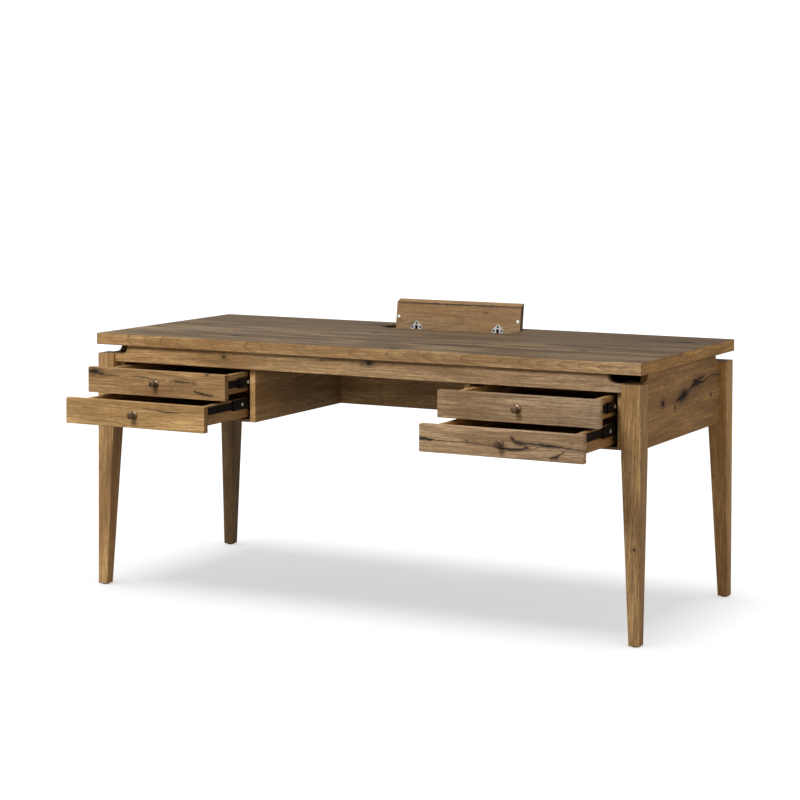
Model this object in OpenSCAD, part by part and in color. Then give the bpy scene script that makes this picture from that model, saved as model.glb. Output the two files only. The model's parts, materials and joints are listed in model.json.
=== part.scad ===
// Straight writing desk with two drawer banks, tapered legs and a flip-up cable flap.
// Rest pose: every drawer partly open, the cable flap standing open against its stop.
// Z is up, X runs along the desk, the user sits on the -Y side.
// The origin is on the floor, under the middle of the desk with its drawers as drawn.

/* [Desktop] */
// Length of the desktop
top_w = 1752; // [1600:4:1900]
// Depth of the desktop, front to back
top_d = 750; // [700:5:800]
// Height of the desktop's surface above the floor
desk_h = 762; // [730:1:780]
// Thickness of the desktop
top_t = 34; // [28:1:40]

/* [Legs] */
// Set-back of each leg's outer faces from the desktop's edges
leg_inset = 3; // [0:1:8]
// Side of the square leg above its taper
leg_w = 56; // [48:1:60]
// Side of the square leg at its foot
foot_w = 31; // [26:1:40]
// Open gap between a leg's top and the desktop
leg_gap = 26; // [20:1:30]
// Height at which the two inner faces start to taper
taper_z = 505; // [420:5:515]
// Radius of the round corner where a panel steps up to the desktop
cove_r = 22; // [14:1:24]
// Length of the low step of each panel beside a leg
cove_l = 44; // [30:1:50]
// Height of the screw-in glide under each foot
glide_h = 3; // [2:0.5:5]

/* [Case] */
// Height of the underside of the drawer case above the floor
case_z = 521; // [515:1:525]
// Underside of the front apron
apron_z = 678; // [676:1:680]
// Thickness of the front apron
apron_t = 21; // [19:1:24]
// Set-back of the apron's face from the front of the legs
apron_recess = 9; // [4:1:14]
// Set-back of the side and back panels from the outside of the legs
panel_recess = 18; // [10:1:22]
// Thickness of the side and back panels
panel_t = 20; // [16:1:22]
// Thickness of the case sides beside the legs
case_side_t = 22; // [18:1:24]
// Thickness of the kneehole sides and the inner back
board_t = 18; // [15:1:20]
// Thickness of the bottoms of the case
case_bottom_t = 8; // [6:1:10]
// Clear half width of the kneehole
kneehole_x = 338; // [320:1:350]
// Depth of the drawer bays
bay_d = 514; // [500:1:530]

/* [Drawers] */
// Height of a drawer front
front_h = 75; // [72:0.5:75]
// Thickness of a drawer front
front_t = 20; // [18:0.5:20]
// Gap between a drawer front and what is next to it
front_gap = 2.5; // [2:0.5:4]
// Height of a drawer's box
box_h = 56; // [50:1:58]
// Length of a drawer's box
box_d = 480; // [460:5:490]
// Thickness of a drawer's sides and back
box_t = 15; // [12:1:16]
// Thickness of a drawer's bottom
box_bottom_t = 6; // [4:1:8]
// Travel of a drawer from closed to fully open
travel = 450; // [400:10:450]
// How far the upper left drawer stands open
open_ul = 141; // [0:1:400]
// How far the lower left drawer stands open
open_ll = 251; // [0:1:400]
// How far the upper right drawer stands open
open_ur = 151; // [0:1:400]
// How far the lower right drawer stands open
open_lr = 259; // [0:1:400]
// Radius of a knob's head
knob_r = 8.5; // [8:0.5:10]
// Radius of the flange at a knob's foot
knob_foot_r = 12; // [10:0.5:13]
// How far a knob stands out of its drawer front
knob_l = 25; // [20:1:30]

/* [Drawer slides] */
// Width of a slide between case and drawer
slide_w = 12.7; // [12.7:0.1:13]
// Height of the rail fixed to the case
case_rail_h = 36; // [32:1:40]
// Height of the middle rail
mid_rail_h = 29; // [28:0.2:30]
// Length of the middle rail
mid_rail_l = 414; // [400:2:450]
// How far an upper middle rail stands behind its half-way place
upper_lag = 13; // [0:1:30]
// How far a lower middle rail stands behind its half-way place
lower_lag = 36; // [0:1:40]
// Height of the rail fixed to the drawer
drawer_rail_h = 21; // [19:0.5:22]
// Thickness of the rolled steel
steel_t = 1.2; // [1:0.1:1.5]
// Height of the upper slides' centre line
upper_slide_z = 640; // [636:1:642]
// Height of the lower slides' centre line
lower_slide_z = 577; // [574:1:578]

/* [Cable flap] */
// Length of the opening in the desktop
opening_w = 432; // [400:2:500]
// Depth of the opening, front to back
opening_d = 121; // [110:1:130]
// Solid desktop behind the opening
opening_back = 50; // [46:1:60]
// Gap at each end of the closed flap, and in front of it
flap_gap = 2; // [1.5:0.5:3]
// Thickness of the flap
flap_t = 20; // [18:0.5:22]
// Radius of the rounded rear edge, with the hinge pin at its centre
flap_r = 16; // [15:0.5:17]
// Slope of the bevel under the flap's front edge, over its thickness
flap_bevel = 12; // [6:1:14]
// Angle through which the flap opens
flap_angle = 98; // [80:1:98]
// Distance of each hinge from the middle of the flap
hinge_x = 140; // [100:5:180]
// Width of the hinge's triangular plate
plate_w = 38; // [36:1:48]
// Length of the hinge's triangular plate in front of the pin
plate_l = 31; // [28:1:34]
// Thickness of the hinge's triangular plate
plate_t = 2.5; // [2:0.5:3]
// Radius of the hinge pin
pin_r = 2.5; // [2:0.5:3]
// Radius of a bumper
bumper_r = 5; // [4:0.5:6]

/* [Hidden] */
$fn = 48;
eps = 0.01;
// Running clearance between a pin and its hole, and between a panel and its groove
fit = 0.05;

// Heights
under_top = desk_h - top_t;
leg_top = under_top - leg_gap;
box_foot = 8;
lower_front_z = case_z + 1;
upper_front_z = apron_z - front_gap - front_h;
lower_box_z = lower_front_z + 13;
upper_box_z = upper_front_z + 11.5;

// Front to back: the frame is centred over the desktop and its furthest drawer
reach = max(open_ul, open_ll, open_ur, open_lr) + knob_l - leg_inset - apron_recess;
y_back = (top_d + reach) / 2;
y_front = y_back - top_d;
apron_y = y_front + leg_inset + apron_recess;
case_y = apron_y + apron_t;
bay_y = case_y + bay_d;
compartment_y = bay_y + board_t;
back_y = y_back - leg_inset - panel_recess - panel_t;
front_leg_y = y_front + leg_inset + leg_w;
rear_leg_y = y_back - leg_inset - leg_w;

// Side to side
half_w = top_w / 2;
leg_x = half_w - leg_inset - leg_w;
side_x = half_w - leg_inset - panel_recess - panel_t;
bay_out_x = leg_x - case_side_t;
bay_in_x = kneehole_x + board_t;
bay_mid_x = (bay_in_x + bay_out_x) / 2;
front_w = leg_x - kneehole_x - 2 * front_gap;
front_mid_x = (leg_x + kneehole_x) / 2;
box_w = bay_out_x - bay_in_x - 2 * slide_w;

// Cable opening and flap, as it lies when closed
opening_y1 = y_back - opening_back;
opening_y0 = opening_y1 - opening_d;
flap_back_gap = 3;
flap_y1 = opening_y1 - flap_back_gap;
flap_y0 = opening_y0 + flap_gap;
flap_w = opening_w - 2 * flap_gap;
flap_under = desk_h - flap_t;
pin_y = flap_y1 - flap_r;
pin_z = desk_h - flap_r;
arm_w = 7;
ear_t = 2;
mortise_w = 13;
mortise_top = 9;
plate_hole_r = 2;
plate_holes = [[5.5 - plate_w / 2, -12], [plate_w / 2 - 5.5, -12], [0, 7 - plate_l]];
plate_slot_y = -17;
bumper_t = 1.8;
bumper_x = flap_w / 2 - 9;
bumper_y = (flap_y0 + flap_y1) / 2;
rest_w = 24;
rest_d = 40;
bracket_foot_w = 34;
bracket_foot_t = 3;
bracket_foot_d = 6;
bracket_foot_y = opening_y1 + 2;
bracket_screw_x = 12;
bracket_hole_r = 1.6;

// Fasteners, and the square section of the cleats they pass through
screw_r = 2;
screw_head_r = 4;
cleat = 20;

// A drawer is [side of the desk, front's underside, box's underside, slide's centre, opening,
// lag of its middle rails]
upper_left = [-1, upper_front_z, upper_box_z, upper_slide_z, open_ul, upper_lag];
lower_left = [-1, lower_front_z, lower_box_z, lower_slide_z, open_ll, lower_lag];
upper_right = [1, upper_front_z, upper_box_z, upper_slide_z, open_ur, upper_lag];
lower_right = [1, lower_front_z, lower_box_z, lower_slide_z, open_lr, lower_lag];
DRAWERS = [upper_left, lower_left, upper_right, lower_right];

// ---- Shared shapes -------------------------------------------------------

// A block between two corners
module block(low, high) {
    translate(low) cube(high - low);
}

// A panel's outline, length by height, with a stepped, round-cornered notch at both upper ends
module notched_outline(length, height) {
    difference() {
        square([length, height]);
        for (end = [0, 1]) translate([end * length, 0]) mirror([end, 0]) cove_notch(height);
    }
}

// The notch beside a leg: its inner lower corner is rounded
module cove_notch(height) {
    step = height - leg_gap;
    translate([-eps, step]) square([cove_l - cove_r + eps, leg_gap + eps]);
    translate([-eps, step + cove_r]) square([cove_l + eps, leg_gap - cove_r + eps]);
    translate([cove_l - cove_r, step + cove_r]) circle(cove_r);
}

// One leg, outer corner at the origin, growing towards +X and +Y
module leg_blank() {
    intersection() {
        translate([0, leg_w, 0]) rotate([90, 0, 0]) linear_extrude(leg_w) leg_outline();
        rotate([90, 0, 90]) linear_extrude(leg_w) leg_outline();
    }
}

module leg_outline() {
    polygon([[0, glide_h], [foot_w, glide_h], [leg_w, taper_z], [leg_w, leg_top], [0, leg_top]]);
}

// A countersunk wood screw, head down at the origin, pointing up
module wood_screw(length) {
    cylinder(h = screw_head_r - screw_r, r1 = screw_head_r, r2 = screw_r);
    cylinder(h = length, r = screw_r);
}

// What belongs to the closed flap is turned about the hinge pin to where the flap stands
module flap_pose() {
    translate([0, pin_y, pin_z]) rotate([-flap_angle, 0, 0]) translate([0, -pin_y, -pin_z])
        children();
}

// ---- Top and legs --------------------------------------------------------

module desk_top() {
    color("#8a6a48") difference() {
        block([-half_w, y_front, under_top], [half_w, y_back, desk_h]);
        block([-opening_w / 2, opening_y0, under_top - 1], [opening_w / 2, opening_y1, desk_h + 1]);
    }
}

module front_left_leg() {
    color("#8d6a45") translate([-half_w + leg_inset, y_front + leg_inset, 0]) leg_blank();
}

module front_right_leg() {
    color("#8d6a45") mirror([1, 0, 0])
        translate([-half_w + leg_inset, y_front + leg_inset, 0]) leg_blank();
}

module rear_left_leg() {
    color("#8d6a45") translate([-half_w + leg_inset, y_back - leg_inset, 0])
        mirror([0, 1, 0]) leg_blank();
}

module rear_right_leg() {
    color("#8d6a45") translate([half_w - leg_inset, y_back - leg_inset, 0])
        rotate([0, 0, 180]) leg_blank();
}

module foot_glides() {
    glide_x = half_w - leg_inset - foot_w / 2;
    glide_mid_y = (y_front + y_back) / 2;
    glide_reach_y = top_d / 2 - leg_inset - foot_w / 2;
    color("#3a342e") for (x = [-1, 1], y = [-1, 1])
        translate([x * glide_x, glide_mid_y + y * glide_reach_y, 0]) cylinder(h = glide_h, r = 11);
}

// ---- Case ----------------------------------------------------------------

module front_apron() {
    color("#96714a") translate([-leg_x, case_y, apron_z]) rotate([90, 0, 0])
        linear_extrude(apron_t) notched_outline(2 * leg_x, under_top - apron_z);
}

module back_panel() {
    color("#8a6842") translate([-leg_x, back_y + panel_t, case_z]) rotate([90, 0, 0])
        linear_extrude(panel_t) notched_outline(2 * leg_x, under_top - case_z);
}

module side_panel_at(x) {
    translate([x, front_leg_y, case_z]) rotate([90, 0, 90])
        linear_extrude(panel_t) notched_outline(rear_leg_y - front_leg_y, under_top - case_z);
}

module left_side_panel() {
    color("#8a6842") side_panel_at(-side_x - panel_t);
}

module right_side_panel() {
    color("#8a6842") side_panel_at(side_x);
}

module case_side_at(side) {
    x = side > 0 ? bay_out_x : -leg_x;
    block([x, case_y, case_z], [x + case_side_t, back_y, leg_top - 2]);
}

module left_case_side() {
    color("#6f5235") case_side_at(-1);
}

module right_case_side() {
    color("#6f5235") case_side_at(1);
}

module left_kneehole_side() {
    color("#7c5c3c") block([-bay_in_x, case_y, case_z], [-kneehole_x, bay_y, under_top]);
}

module right_kneehole_side() {
    color("#7c5c3c") block([kneehole_x, case_y, case_z], [bay_in_x, bay_y, under_top]);
}

module inner_back_panel() {
    color("#6b5036") block([-bay_out_x, bay_y, case_z], [bay_out_x, compartment_y, under_top]);
}

module left_case_bottom() {
    color("#7c5c3c")
        block([-bay_out_x, case_y, case_z], [-bay_in_x, bay_y, case_z + case_bottom_t]);
}

module right_case_bottom() {
    color("#7c5c3c")
        block([bay_in_x, case_y, case_z], [bay_out_x, bay_y, case_z + case_bottom_t]);
}

// Floor of the cable compartment behind the drawers, with a round cable outlet
module compartment_floor() {
    outlet_r = 30;
    color("#6f5235") difference() {
        block([-bay_out_x, compartment_y, case_z], [bay_out_x, back_y, case_z + case_bottom_t]);
        translate([0, (compartment_y + back_y) / 2, case_z - 1])
            cylinder(h = case_bottom_t + 2, r = outlet_r);
    }
}

// Battens that space each side panel off its case side
module side_spacers() {
    batten_h = 30;
    color("#7c5c3c") for (side = [-1, 1], z = [case_z, leg_top - 2 - batten_h]) {
        x = side > 0 ? leg_x : -side_x;
        block([x, front_leg_y, z], [x + side_x - leg_x, rear_leg_y, z + batten_h]);
    }
}

// Battens under the desktop, behind the apron and in front of the back panel
module top_cleats() {
    end_x = leg_x - cove_l - 6;
    color("#7c5c3c") for (side = [-1, 1]) {
        x0 = side > 0 ? bay_in_x : -end_x;
        x1 = side > 0 ? end_x : -bay_in_x;
        block([x0, case_y, under_top - cleat], [x1, case_y + cleat, under_top]);
        block([x0, back_y - cleat, under_top - cleat], [x1, back_y, under_top]);
    }
    color("#7c5c3c")
        block([-kneehole_x, case_y, under_top - cleat], [kneehole_x, case_y + cleat, under_top]);
}

// Screws up through the cleats into the desktop
module top_screws() {
    color("#55524e") for (x = [-700, -460, 460, 700], y = [case_y + cleat / 2, back_y - cleat / 2])
        translate([x, y, under_top - cleat]) wood_screw(cleat + top_t / 2);
}

// ---- Drawer slides -------------------------------------------------------

// A rolled channel, web at x = 0, opening towards +X, length along Y
module channel(height, depth, length) {
    rotate([-90, 0, 0]) linear_extrude(length) difference() {
        translate([0, -height / 2]) square([depth, height]);
        translate([steel_t, steel_t - height / 2]) square([depth, height - 2 * steel_t]);
    }
}

// Copies a slide member to both sides of a drawer's bay, channels built on the bay's left wall
module both_sides(drawer) {
    translate([drawer[0] * bay_mid_x, 0, drawer[3]]) for (side = [0, 1])
        mirror([side, 0, 0]) translate([bay_in_x - bay_mid_x, 0, 0]) children();
}

module case_slide_rails() {
    color("#1c1c1c") for (drawer = DRAWERS) both_sides(drawer)
        translate([0, case_y + 4, 0]) channel(case_rail_h, 10, travel);
}

module middle_rails(drawer) {
    color("#1c1c1c") both_sides(drawer)
        translate([3, case_y + 4 + drawer[5] - drawer[4] / 2, 0])
            channel(mid_rail_h, 8.2, mid_rail_l);
}

module drawer_rails(drawer) {
    color("#1c1c1c") both_sides(drawer)
        translate([slide_w, case_y + 4 - drawer[4], 0]) mirror([1, 0, 0])
            channel(drawer_rail_h, 7.2, travel);
}

// ---- Drawers -------------------------------------------------------------

module drawer_front(drawer) {
    y = apron_y - drawer[4];
    x = drawer[0] * front_mid_x;
    color("#9a7850") difference() {
        block([x - front_w / 2, y, drawer[1]], [x + front_w / 2, y + front_t, drawer[1] + front_h]);
        translate([x, y - 1, drawer[1] + front_h / 2]) rotate([-90, 0, 0])
            cylinder(h = front_t + 2, r = screw_r + 0.25);
    }
}

// Both sides, each with a groove for the bottom
module drawer_sides(drawer) {
    y = apron_y + front_t - drawer[4];
    x = drawer[0] * bay_mid_x;
    groove = 7;
    color("#a98455") for (side = [0, 1]) translate([x, y, drawer[2]]) mirror([side, 0, 0])
        difference() {
            translate([box_w / 2 - box_t, 0, 0]) cube([box_t, box_d, box_h]);
            translate([box_w / 2 - box_t - 1, -1, box_foot - fit])
                cube([groove + 1, box_d + 2, box_bottom_t + 2 * fit]);
        }
}

module drawer_back(drawer) {
    y = apron_y + front_t - drawer[4] + box_d - box_t;
    x = drawer[0] * bay_mid_x;
    half = box_w / 2 - box_t;
    color("#a98455") block([x - half, y, drawer[2] + box_foot + box_bottom_t],
        [x + half, y + box_t, drawer[2] + box_h]);
}

module drawer_bottom(drawer) {
    y = apron_y + front_t - drawer[4];
    x = drawer[0] * bay_mid_x;
    z = drawer[2] + box_foot;
    half = box_w / 2 - box_t + 6;
    color("#a98455") block([x - half, y, z], [x + half, y + box_d, z + box_bottom_t]);
}

// Turned knob on a flange, with the machine screw that holds it through the front
module drawer_knob(drawer) {
    screw_in = 10;
    translate([drawer[0] * front_mid_x, apron_y - drawer[4], drawer[1] + front_h / 2])
        rotate([90, 0, 0]) {
            color("#6b5638") difference() {
                rotate_extrude() knob_outline();
                translate([0, 0, -1]) cylinder(h = screw_in + 1, r = screw_r + fit);
            }
            color("#55524e") translate([0, 0, -front_t - 2]) {
                cylinder(h = 2, r = screw_head_r);
                cylinder(h = front_t + screw_in, r = screw_r);
            }
        }
}

// Half section of the knob: foot flange, hollowed waist, and head with a rounded rim
module knob_outline() {
    foot_t = 3;
    waist_r = 6;
    rim = 2;
    head_t = 10;
    hollow_r = (knob_l - head_t - foot_t) / 2;
    square([knob_foot_r, foot_t]);
    difference() {
        square([knob_r, knob_l - head_t]);
        translate([waist_r + hollow_r, foot_t + hollow_r]) circle(hollow_r);
    }
    translate([0, knob_l - head_t]) square([knob_r, head_t - rim]);
    translate([0, knob_l - rim]) square([knob_r - rim, rim]);
    translate([knob_r - rim, knob_l - rim]) circle(rim);
}

// ---- Cable flap ----------------------------------------------------------

// Section of the closed flap: bevelled front edge, rounded rear edge
module flap_section() {
    intersection() {
        polygon([[flap_y0, desk_h], [flap_y0, desk_h - 2], [flap_y0 + flap_bevel, flap_under],
            [flap_y1, flap_under], [flap_y1, desk_h]]);
        union() {
            square([pin_y, desk_h]);
            translate([pin_y, 0]) square([flap_r, pin_z]);
            translate([pin_y, pin_z]) circle(flap_r, $fn = 96);
        }
    }
}

module cable_flap() {
    color("#8f6d47") flap_pose() difference() {
        translate([-flap_w / 2, 0, 0]) rotate([90, 0, 90]) linear_extrude(flap_w) flap_section();
        for (side = [-1, 1])
            block([side * hinge_x - mortise_w / 2, pin_y + plate_slot_y, flap_under - 1],
                [side * hinge_x + mortise_w / 2, flap_y1 + 1, pin_z + mortise_top]);
    }
}

// Rounded triangle in front of the pin, open at the back where the hinge arm passes
module plate_outline() {
    corner_r = 6;
    difference() {
        hull() {
            for (side = [-1, 1], y = [-12, -1])
                translate([side * (plate_w / 2 - corner_r), y]) circle(corner_r);
            translate([0, corner_r - plate_l]) circle(corner_r);
        }
        translate([-plate_w, 4]) square([2 * plate_w, 10]);
        translate([-arm_w / 2 - 1, plate_slot_y]) square([arm_w + 2, 30]);
        for (hole = plate_holes) translate(hole) circle(plate_hole_r);
    }
}

// Zinc plates under the flap, each with two ears round the pin
module flap_hinge_plates() {
    ear_x = arm_w / 2 + 0.4;
    ear_r = 4.6;
    color("#b9b7b2") flap_pose() for (side = [-1, 1]) translate([side * hinge_x, pin_y, 0]) {
        translate([0, 0, flap_under - plate_t]) linear_extrude(plate_t) plate_outline();
        for (ear = [0, 1]) mirror([ear, 0, 0]) difference() {
            union() {
                translate([ear_x, 0, pin_z]) rotate([0, 90, 0]) cylinder(h = ear_t, r = ear_r);
                block([ear_x + 0.7, -ear_r, flap_under - plate_t], [ear_x + ear_t, 4, pin_z]);
            }
            translate([0, 0, pin_z]) rotate([0, 90, 0]) cylinder(h = 10, r = pin_r + fit);
        }
    }
}

module flap_hinge_screws() {
    head_t = 1;
    color("#2c2b2a") flap_pose() for (side = [-1, 1], hole = plate_holes)
        translate([side * hinge_x + hole[0], pin_y + hole[1], flap_under - plate_t + head_t])
            cylinder(h = 12, r = plate_hole_r - fit);
}

module flap_bumpers() {
    color("#e6e4df") flap_pose() for (side = [-1, 1])
        translate([side * bumper_x, bumper_y, flap_under - bumper_t])
            cylinder(h = bumper_t, r1 = bumper_r - 1, r2 = bumper_r);
}

// Side view of a fixed arm: from the pin down and back under the desktop
module bracket_outline() {
    arm_half = 4.6;
    arm_low_z = under_top - 12;
    arm_t = 8;
    foot_end_y = bracket_foot_y + bracket_foot_d;
    difference() {
        union() {
            translate([pin_y, pin_z]) circle(arm_half);
            translate([pin_y - arm_half, arm_low_z]) square([2 * arm_half, pin_z - arm_low_z]);
            translate([pin_y - arm_half, arm_low_z]) square([foot_end_y - pin_y + arm_half, arm_t]);
            translate([bracket_foot_y, arm_low_z])
                square([bracket_foot_d, under_top - arm_low_z]);
        }
        translate([pin_y, pin_z]) circle(pin_r + fit);
    }
}

// Each bracket is an arm and a foot bar screwed up into the desktop behind the opening
module flap_hinge_brackets() {
    color("#b9b7b2") for (side = [-1, 1]) translate([side * hinge_x, 0, 0]) {
        translate([-arm_w / 2, 0, 0]) rotate([90, 0, 90]) linear_extrude(arm_w) bracket_outline();
        difference() {
            block([-bracket_foot_w / 2, bracket_foot_y, under_top - bracket_foot_t],
                [bracket_foot_w / 2, bracket_foot_y + bracket_foot_d, under_top]);
            for (x = [-1, 1]) translate([x * bracket_screw_x, bracket_foot_y + bracket_foot_d / 2,
                under_top - bracket_foot_t - 1]) cylinder(h = bracket_foot_t + 2, r = bracket_hole_r);
        }
    }
}

module flap_hinge_pins() {
    pin_l = arm_w + 2 * ear_t + 1.4;
    color("#9a9894") for (side = [-1, 1]) translate([side * hinge_x - pin_l / 2, pin_y, pin_z])
        rotate([0, 90, 0]) cylinder(h = pin_l, r = pin_r);
}

module bracket_screws() {
    head_t = 1.5;
    color("#55524e") for (side = [-1, 1], x = [-1, 1])
        translate([side * hinge_x + x * bracket_screw_x, bracket_foot_y + bracket_foot_d / 2,
            under_top - bracket_foot_t - head_t]) {
            cylinder(h = head_t, r = bracket_foot_d / 2);
            cylinder(h = top_t / 2, r = bracket_hole_r - fit);
        }
}

// Ledges at both ends of the opening, where the flap's bumpers land
module flap_rests() {
    ledge_z = flap_under - bumper_t - 0.3;
    outer_x = opening_w / 2;
    color("#7c5c3c") for (side = [0, 1]) mirror([side, 0, 0]) {
        block([outer_x - rest_w, bumper_y - rest_d / 2, under_top - 14],
            [outer_x + rest_w, bumper_y + rest_d / 2, under_top]);
        block([outer_x - rest_w, bumper_y - rest_d / 2, under_top],
            [outer_x, bumper_y + rest_d / 2, ledge_z]);
    }
}

// ---- Nodes ---------------------------------------------------------------

desk_top();
front_left_leg();
front_right_leg();
rear_left_leg();
rear_right_leg();
front_apron();
back_panel();
left_side_panel();
right_side_panel();
left_case_side();
right_case_side();
left_kneehole_side();
right_kneehole_side();
inner_back_panel();
left_case_bottom();
right_case_bottom();
compartment_floor();
side_spacers();
top_cleats();
top_screws();
foot_glides();
case_slide_rails();
flap_hinge_brackets();
flap_hinge_pins();
bracket_screws();
flap_rests();
cable_flap();
flap_hinge_plates();
flap_hinge_screws();
flap_bumpers();

drawer_front(upper_left);  // upper_left_front
drawer_sides(upper_left);  // upper_left_sides
drawer_back(upper_left);  // upper_left_back
drawer_bottom(upper_left);  // upper_left_bottom
drawer_knob(upper_left);  // upper_left_knob
drawer_rails(upper_left);  // upper_left_drawer_rails
middle_rails(upper_left);  // upper_left_middle_rails

drawer_front(lower_left);  // lower_left_front
drawer_sides(lower_left);  // lower_left_sides
drawer_back(lower_left);  // lower_left_back
drawer_bottom(lower_left);  // lower_left_bottom
drawer_knob(lower_left);  // lower_left_knob
drawer_rails(lower_left);  // lower_left_drawer_rails
middle_rails(lower_left);  // lower_left_middle_rails

drawer_front(upper_right);  // upper_right_front
drawer_sides(upper_right);  // upper_right_sides
drawer_back(upper_right);  // upper_right_back
drawer_bottom(upper_right);  // upper_right_bottom
drawer_knob(upper_right);  // upper_right_knob
drawer_rails(upper_right);  // upper_right_drawer_rails
middle_rails(upper_right);  // upper_right_middle_rails

drawer_front(lower_right);  // lower_right_front
drawer_sides(lower_right);  // lower_right_sides
drawer_back(lower_right);  // lower_right_back
drawer_bottom(lower_right);  // lower_right_bottom
drawer_knob(lower_right);  // lower_right_knob
drawer_rails(lower_right);  // lower_right_drawer_rails
middle_rails(lower_right);  // lower_right_middle_rails
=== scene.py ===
"""Looks of a straight oak writing desk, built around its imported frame.

Every class below is one sub-assembly or one finish. Z is up, X runs along the desk and the user
sits on the -Y side.
"""

import json
import logging
import math
from dataclasses import dataclass, field
from enum import Enum
from typing import Iterable, Sequence, TypeAlias

import bmesh
import bpy
import numpy as np
from mathutils import Matrix, Vector

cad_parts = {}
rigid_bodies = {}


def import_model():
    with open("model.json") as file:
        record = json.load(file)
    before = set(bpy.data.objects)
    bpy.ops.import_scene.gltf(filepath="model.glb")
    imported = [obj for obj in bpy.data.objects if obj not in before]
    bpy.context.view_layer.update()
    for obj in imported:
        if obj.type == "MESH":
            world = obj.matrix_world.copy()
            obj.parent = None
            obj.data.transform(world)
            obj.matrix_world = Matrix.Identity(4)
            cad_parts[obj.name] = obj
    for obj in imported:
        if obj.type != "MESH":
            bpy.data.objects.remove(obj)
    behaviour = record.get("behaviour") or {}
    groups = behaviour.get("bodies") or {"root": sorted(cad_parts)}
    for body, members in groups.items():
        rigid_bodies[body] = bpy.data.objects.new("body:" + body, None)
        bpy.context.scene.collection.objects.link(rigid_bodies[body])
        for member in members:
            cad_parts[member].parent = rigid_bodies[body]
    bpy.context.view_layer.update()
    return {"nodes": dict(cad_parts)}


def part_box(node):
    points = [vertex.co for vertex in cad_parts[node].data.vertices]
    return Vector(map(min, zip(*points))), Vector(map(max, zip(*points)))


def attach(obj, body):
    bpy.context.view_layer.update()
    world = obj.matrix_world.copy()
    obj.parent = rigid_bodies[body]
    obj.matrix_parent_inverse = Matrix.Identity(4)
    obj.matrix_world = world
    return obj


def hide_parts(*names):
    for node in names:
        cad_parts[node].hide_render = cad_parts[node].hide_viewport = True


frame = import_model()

log = logging.getLogger("desk")

MM = 0.001
Colour: TypeAlias = tuple[float, float, float]
Socket: TypeAlias = bpy.types.NodeSocket
Material: TypeAlias = bpy.types.Material
Group: TypeAlias = bpy.types.Collection
Value: TypeAlias = "Socket | float"
Tint: TypeAlias = "Socket | Colour"


def times(colour: Colour, by: float) -> Colour:
    """Returns a colour with each part multiplied."""
    return tuple(c * by for c in colour)


# ---- Shapes --------------------------------------------------------------------------------------
class Run(Enum):
    """The axis along which a flat outline is given its thickness, and where its u and v lie."""

    X = (1, 2, 0)
    Y = (0, 2, 1)
    Z = (0, 1, 2)


@dataclass
class Shell:
    """One closed skin, or several that never share a vertex.

    Attributes:
        points: Corner points, one row each.
        faces: Corner numbers of every face.
        marks: Index of the finish that each face takes.
    """

    points: np.ndarray
    faces: list[list[int]]
    marks: list[int]

    def moved(self, matrix: Matrix) -> "Shell":
        """Returns this skin carried by a rigid move.

        Args:
            matrix: The 4 x 4 move.

        Returns:
            A new skin with the same faces.
        """
        m = np.array(matrix)
        return Shell(self.points @ m[:3, :3].T + m[:3, 3], self.faces, self.marks)

    @staticmethod
    def joined(shells: Iterable["Shell"]) -> "Shell":
        """Returns several skins as one list of points and faces.

        Args:
            shells: The skins, in order.

        Returns:
            One skin that holds them all.
        """
        points, faces, marks, start = [], [], [], 0
        for shell in shells:
            points.append(shell.points)
            faces += [[start + i for i in face] for face in shell.faces]
            marks += shell.marks
            start += len(shell.points)
        return Shell(np.concatenate(points), faces, marks)


def loft(rings: np.ndarray, capped: bool = True, looped: bool = False) -> Shell:
    """Skins a stack of closed rings: point j of ring i joins its neighbours in i and in j.

    Args:
        rings: Points as rings x points x 3.
        capped: Whether the first and last ring are each closed by one flat face.
        looped: Whether the last ring joins the first one, as on a torus.

    Returns:
        The skin, closed when it is capped or looped.
    """
    m, n = rings.shape[:2]
    rows = np.arange(m if looped else m - 1)[:, None]
    cols = np.arange(n)[None, :]
    after_row, after_col = (rows + 1) % m, (cols + 1) % n
    quads = np.stack([rows * n + cols, rows * n + after_col,
                      after_row * n + after_col, after_row * n + cols], -1)
    faces = quads.reshape(-1, 4).tolist()
    if capped:
        faces += [list(range(n - 1, -1, -1)), list(range((m - 1) * n, m * n))]
    return Shell(rings.reshape(-1, 3).astype(float), faces, [0] * len(faces))


def filleted(outline: np.ndarray, radius: float, steps: int = 4) -> np.ndarray:
    """Rounds every corner of a closed outline.

    At a corner P with unit directions a and b to its neighbours, the arc's centre lies on the
    bisector at radius / sin(half angle), and the arc runs between the feet of its two tangents.

    Args:
        outline: Corners as n x 2, in order.
        radius: Radius of each arc.
        steps: Points on each arc.

    Returns:
        The rounded outline as (n * steps) x 2.
    """
    back = np.roll(outline, 1, 0) - outline
    ahead = np.roll(outline, -1, 0) - outline
    a = back / np.linalg.norm(back, axis=1, keepdims=True)
    b = ahead / np.linalg.norm(ahead, axis=1, keepdims=True)
    half = np.arccos(np.clip((a * b).sum(1), -1, 1)) / 2
    bisector = (a + b) / np.linalg.norm(a + b, axis=1, keepdims=True)
    centre = outline + bisector * (radius / np.sin(half))[:, None]
    u = outline + a * (radius / np.tan(half))[:, None] - centre
    v = outline + b * (radius / np.tan(half))[:, None] - centre
    sweep = (math.pi - 2 * half)[:, None, None]
    t = np.linspace(0, 1, steps)[None, :, None]
    arc = (np.sin((1 - t) * sweep) * u[:, None] + np.sin(t * sweep) * v[:, None]) / np.sin(sweep)
    return (centre[:, None] + arc).reshape(-1, 2)


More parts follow.
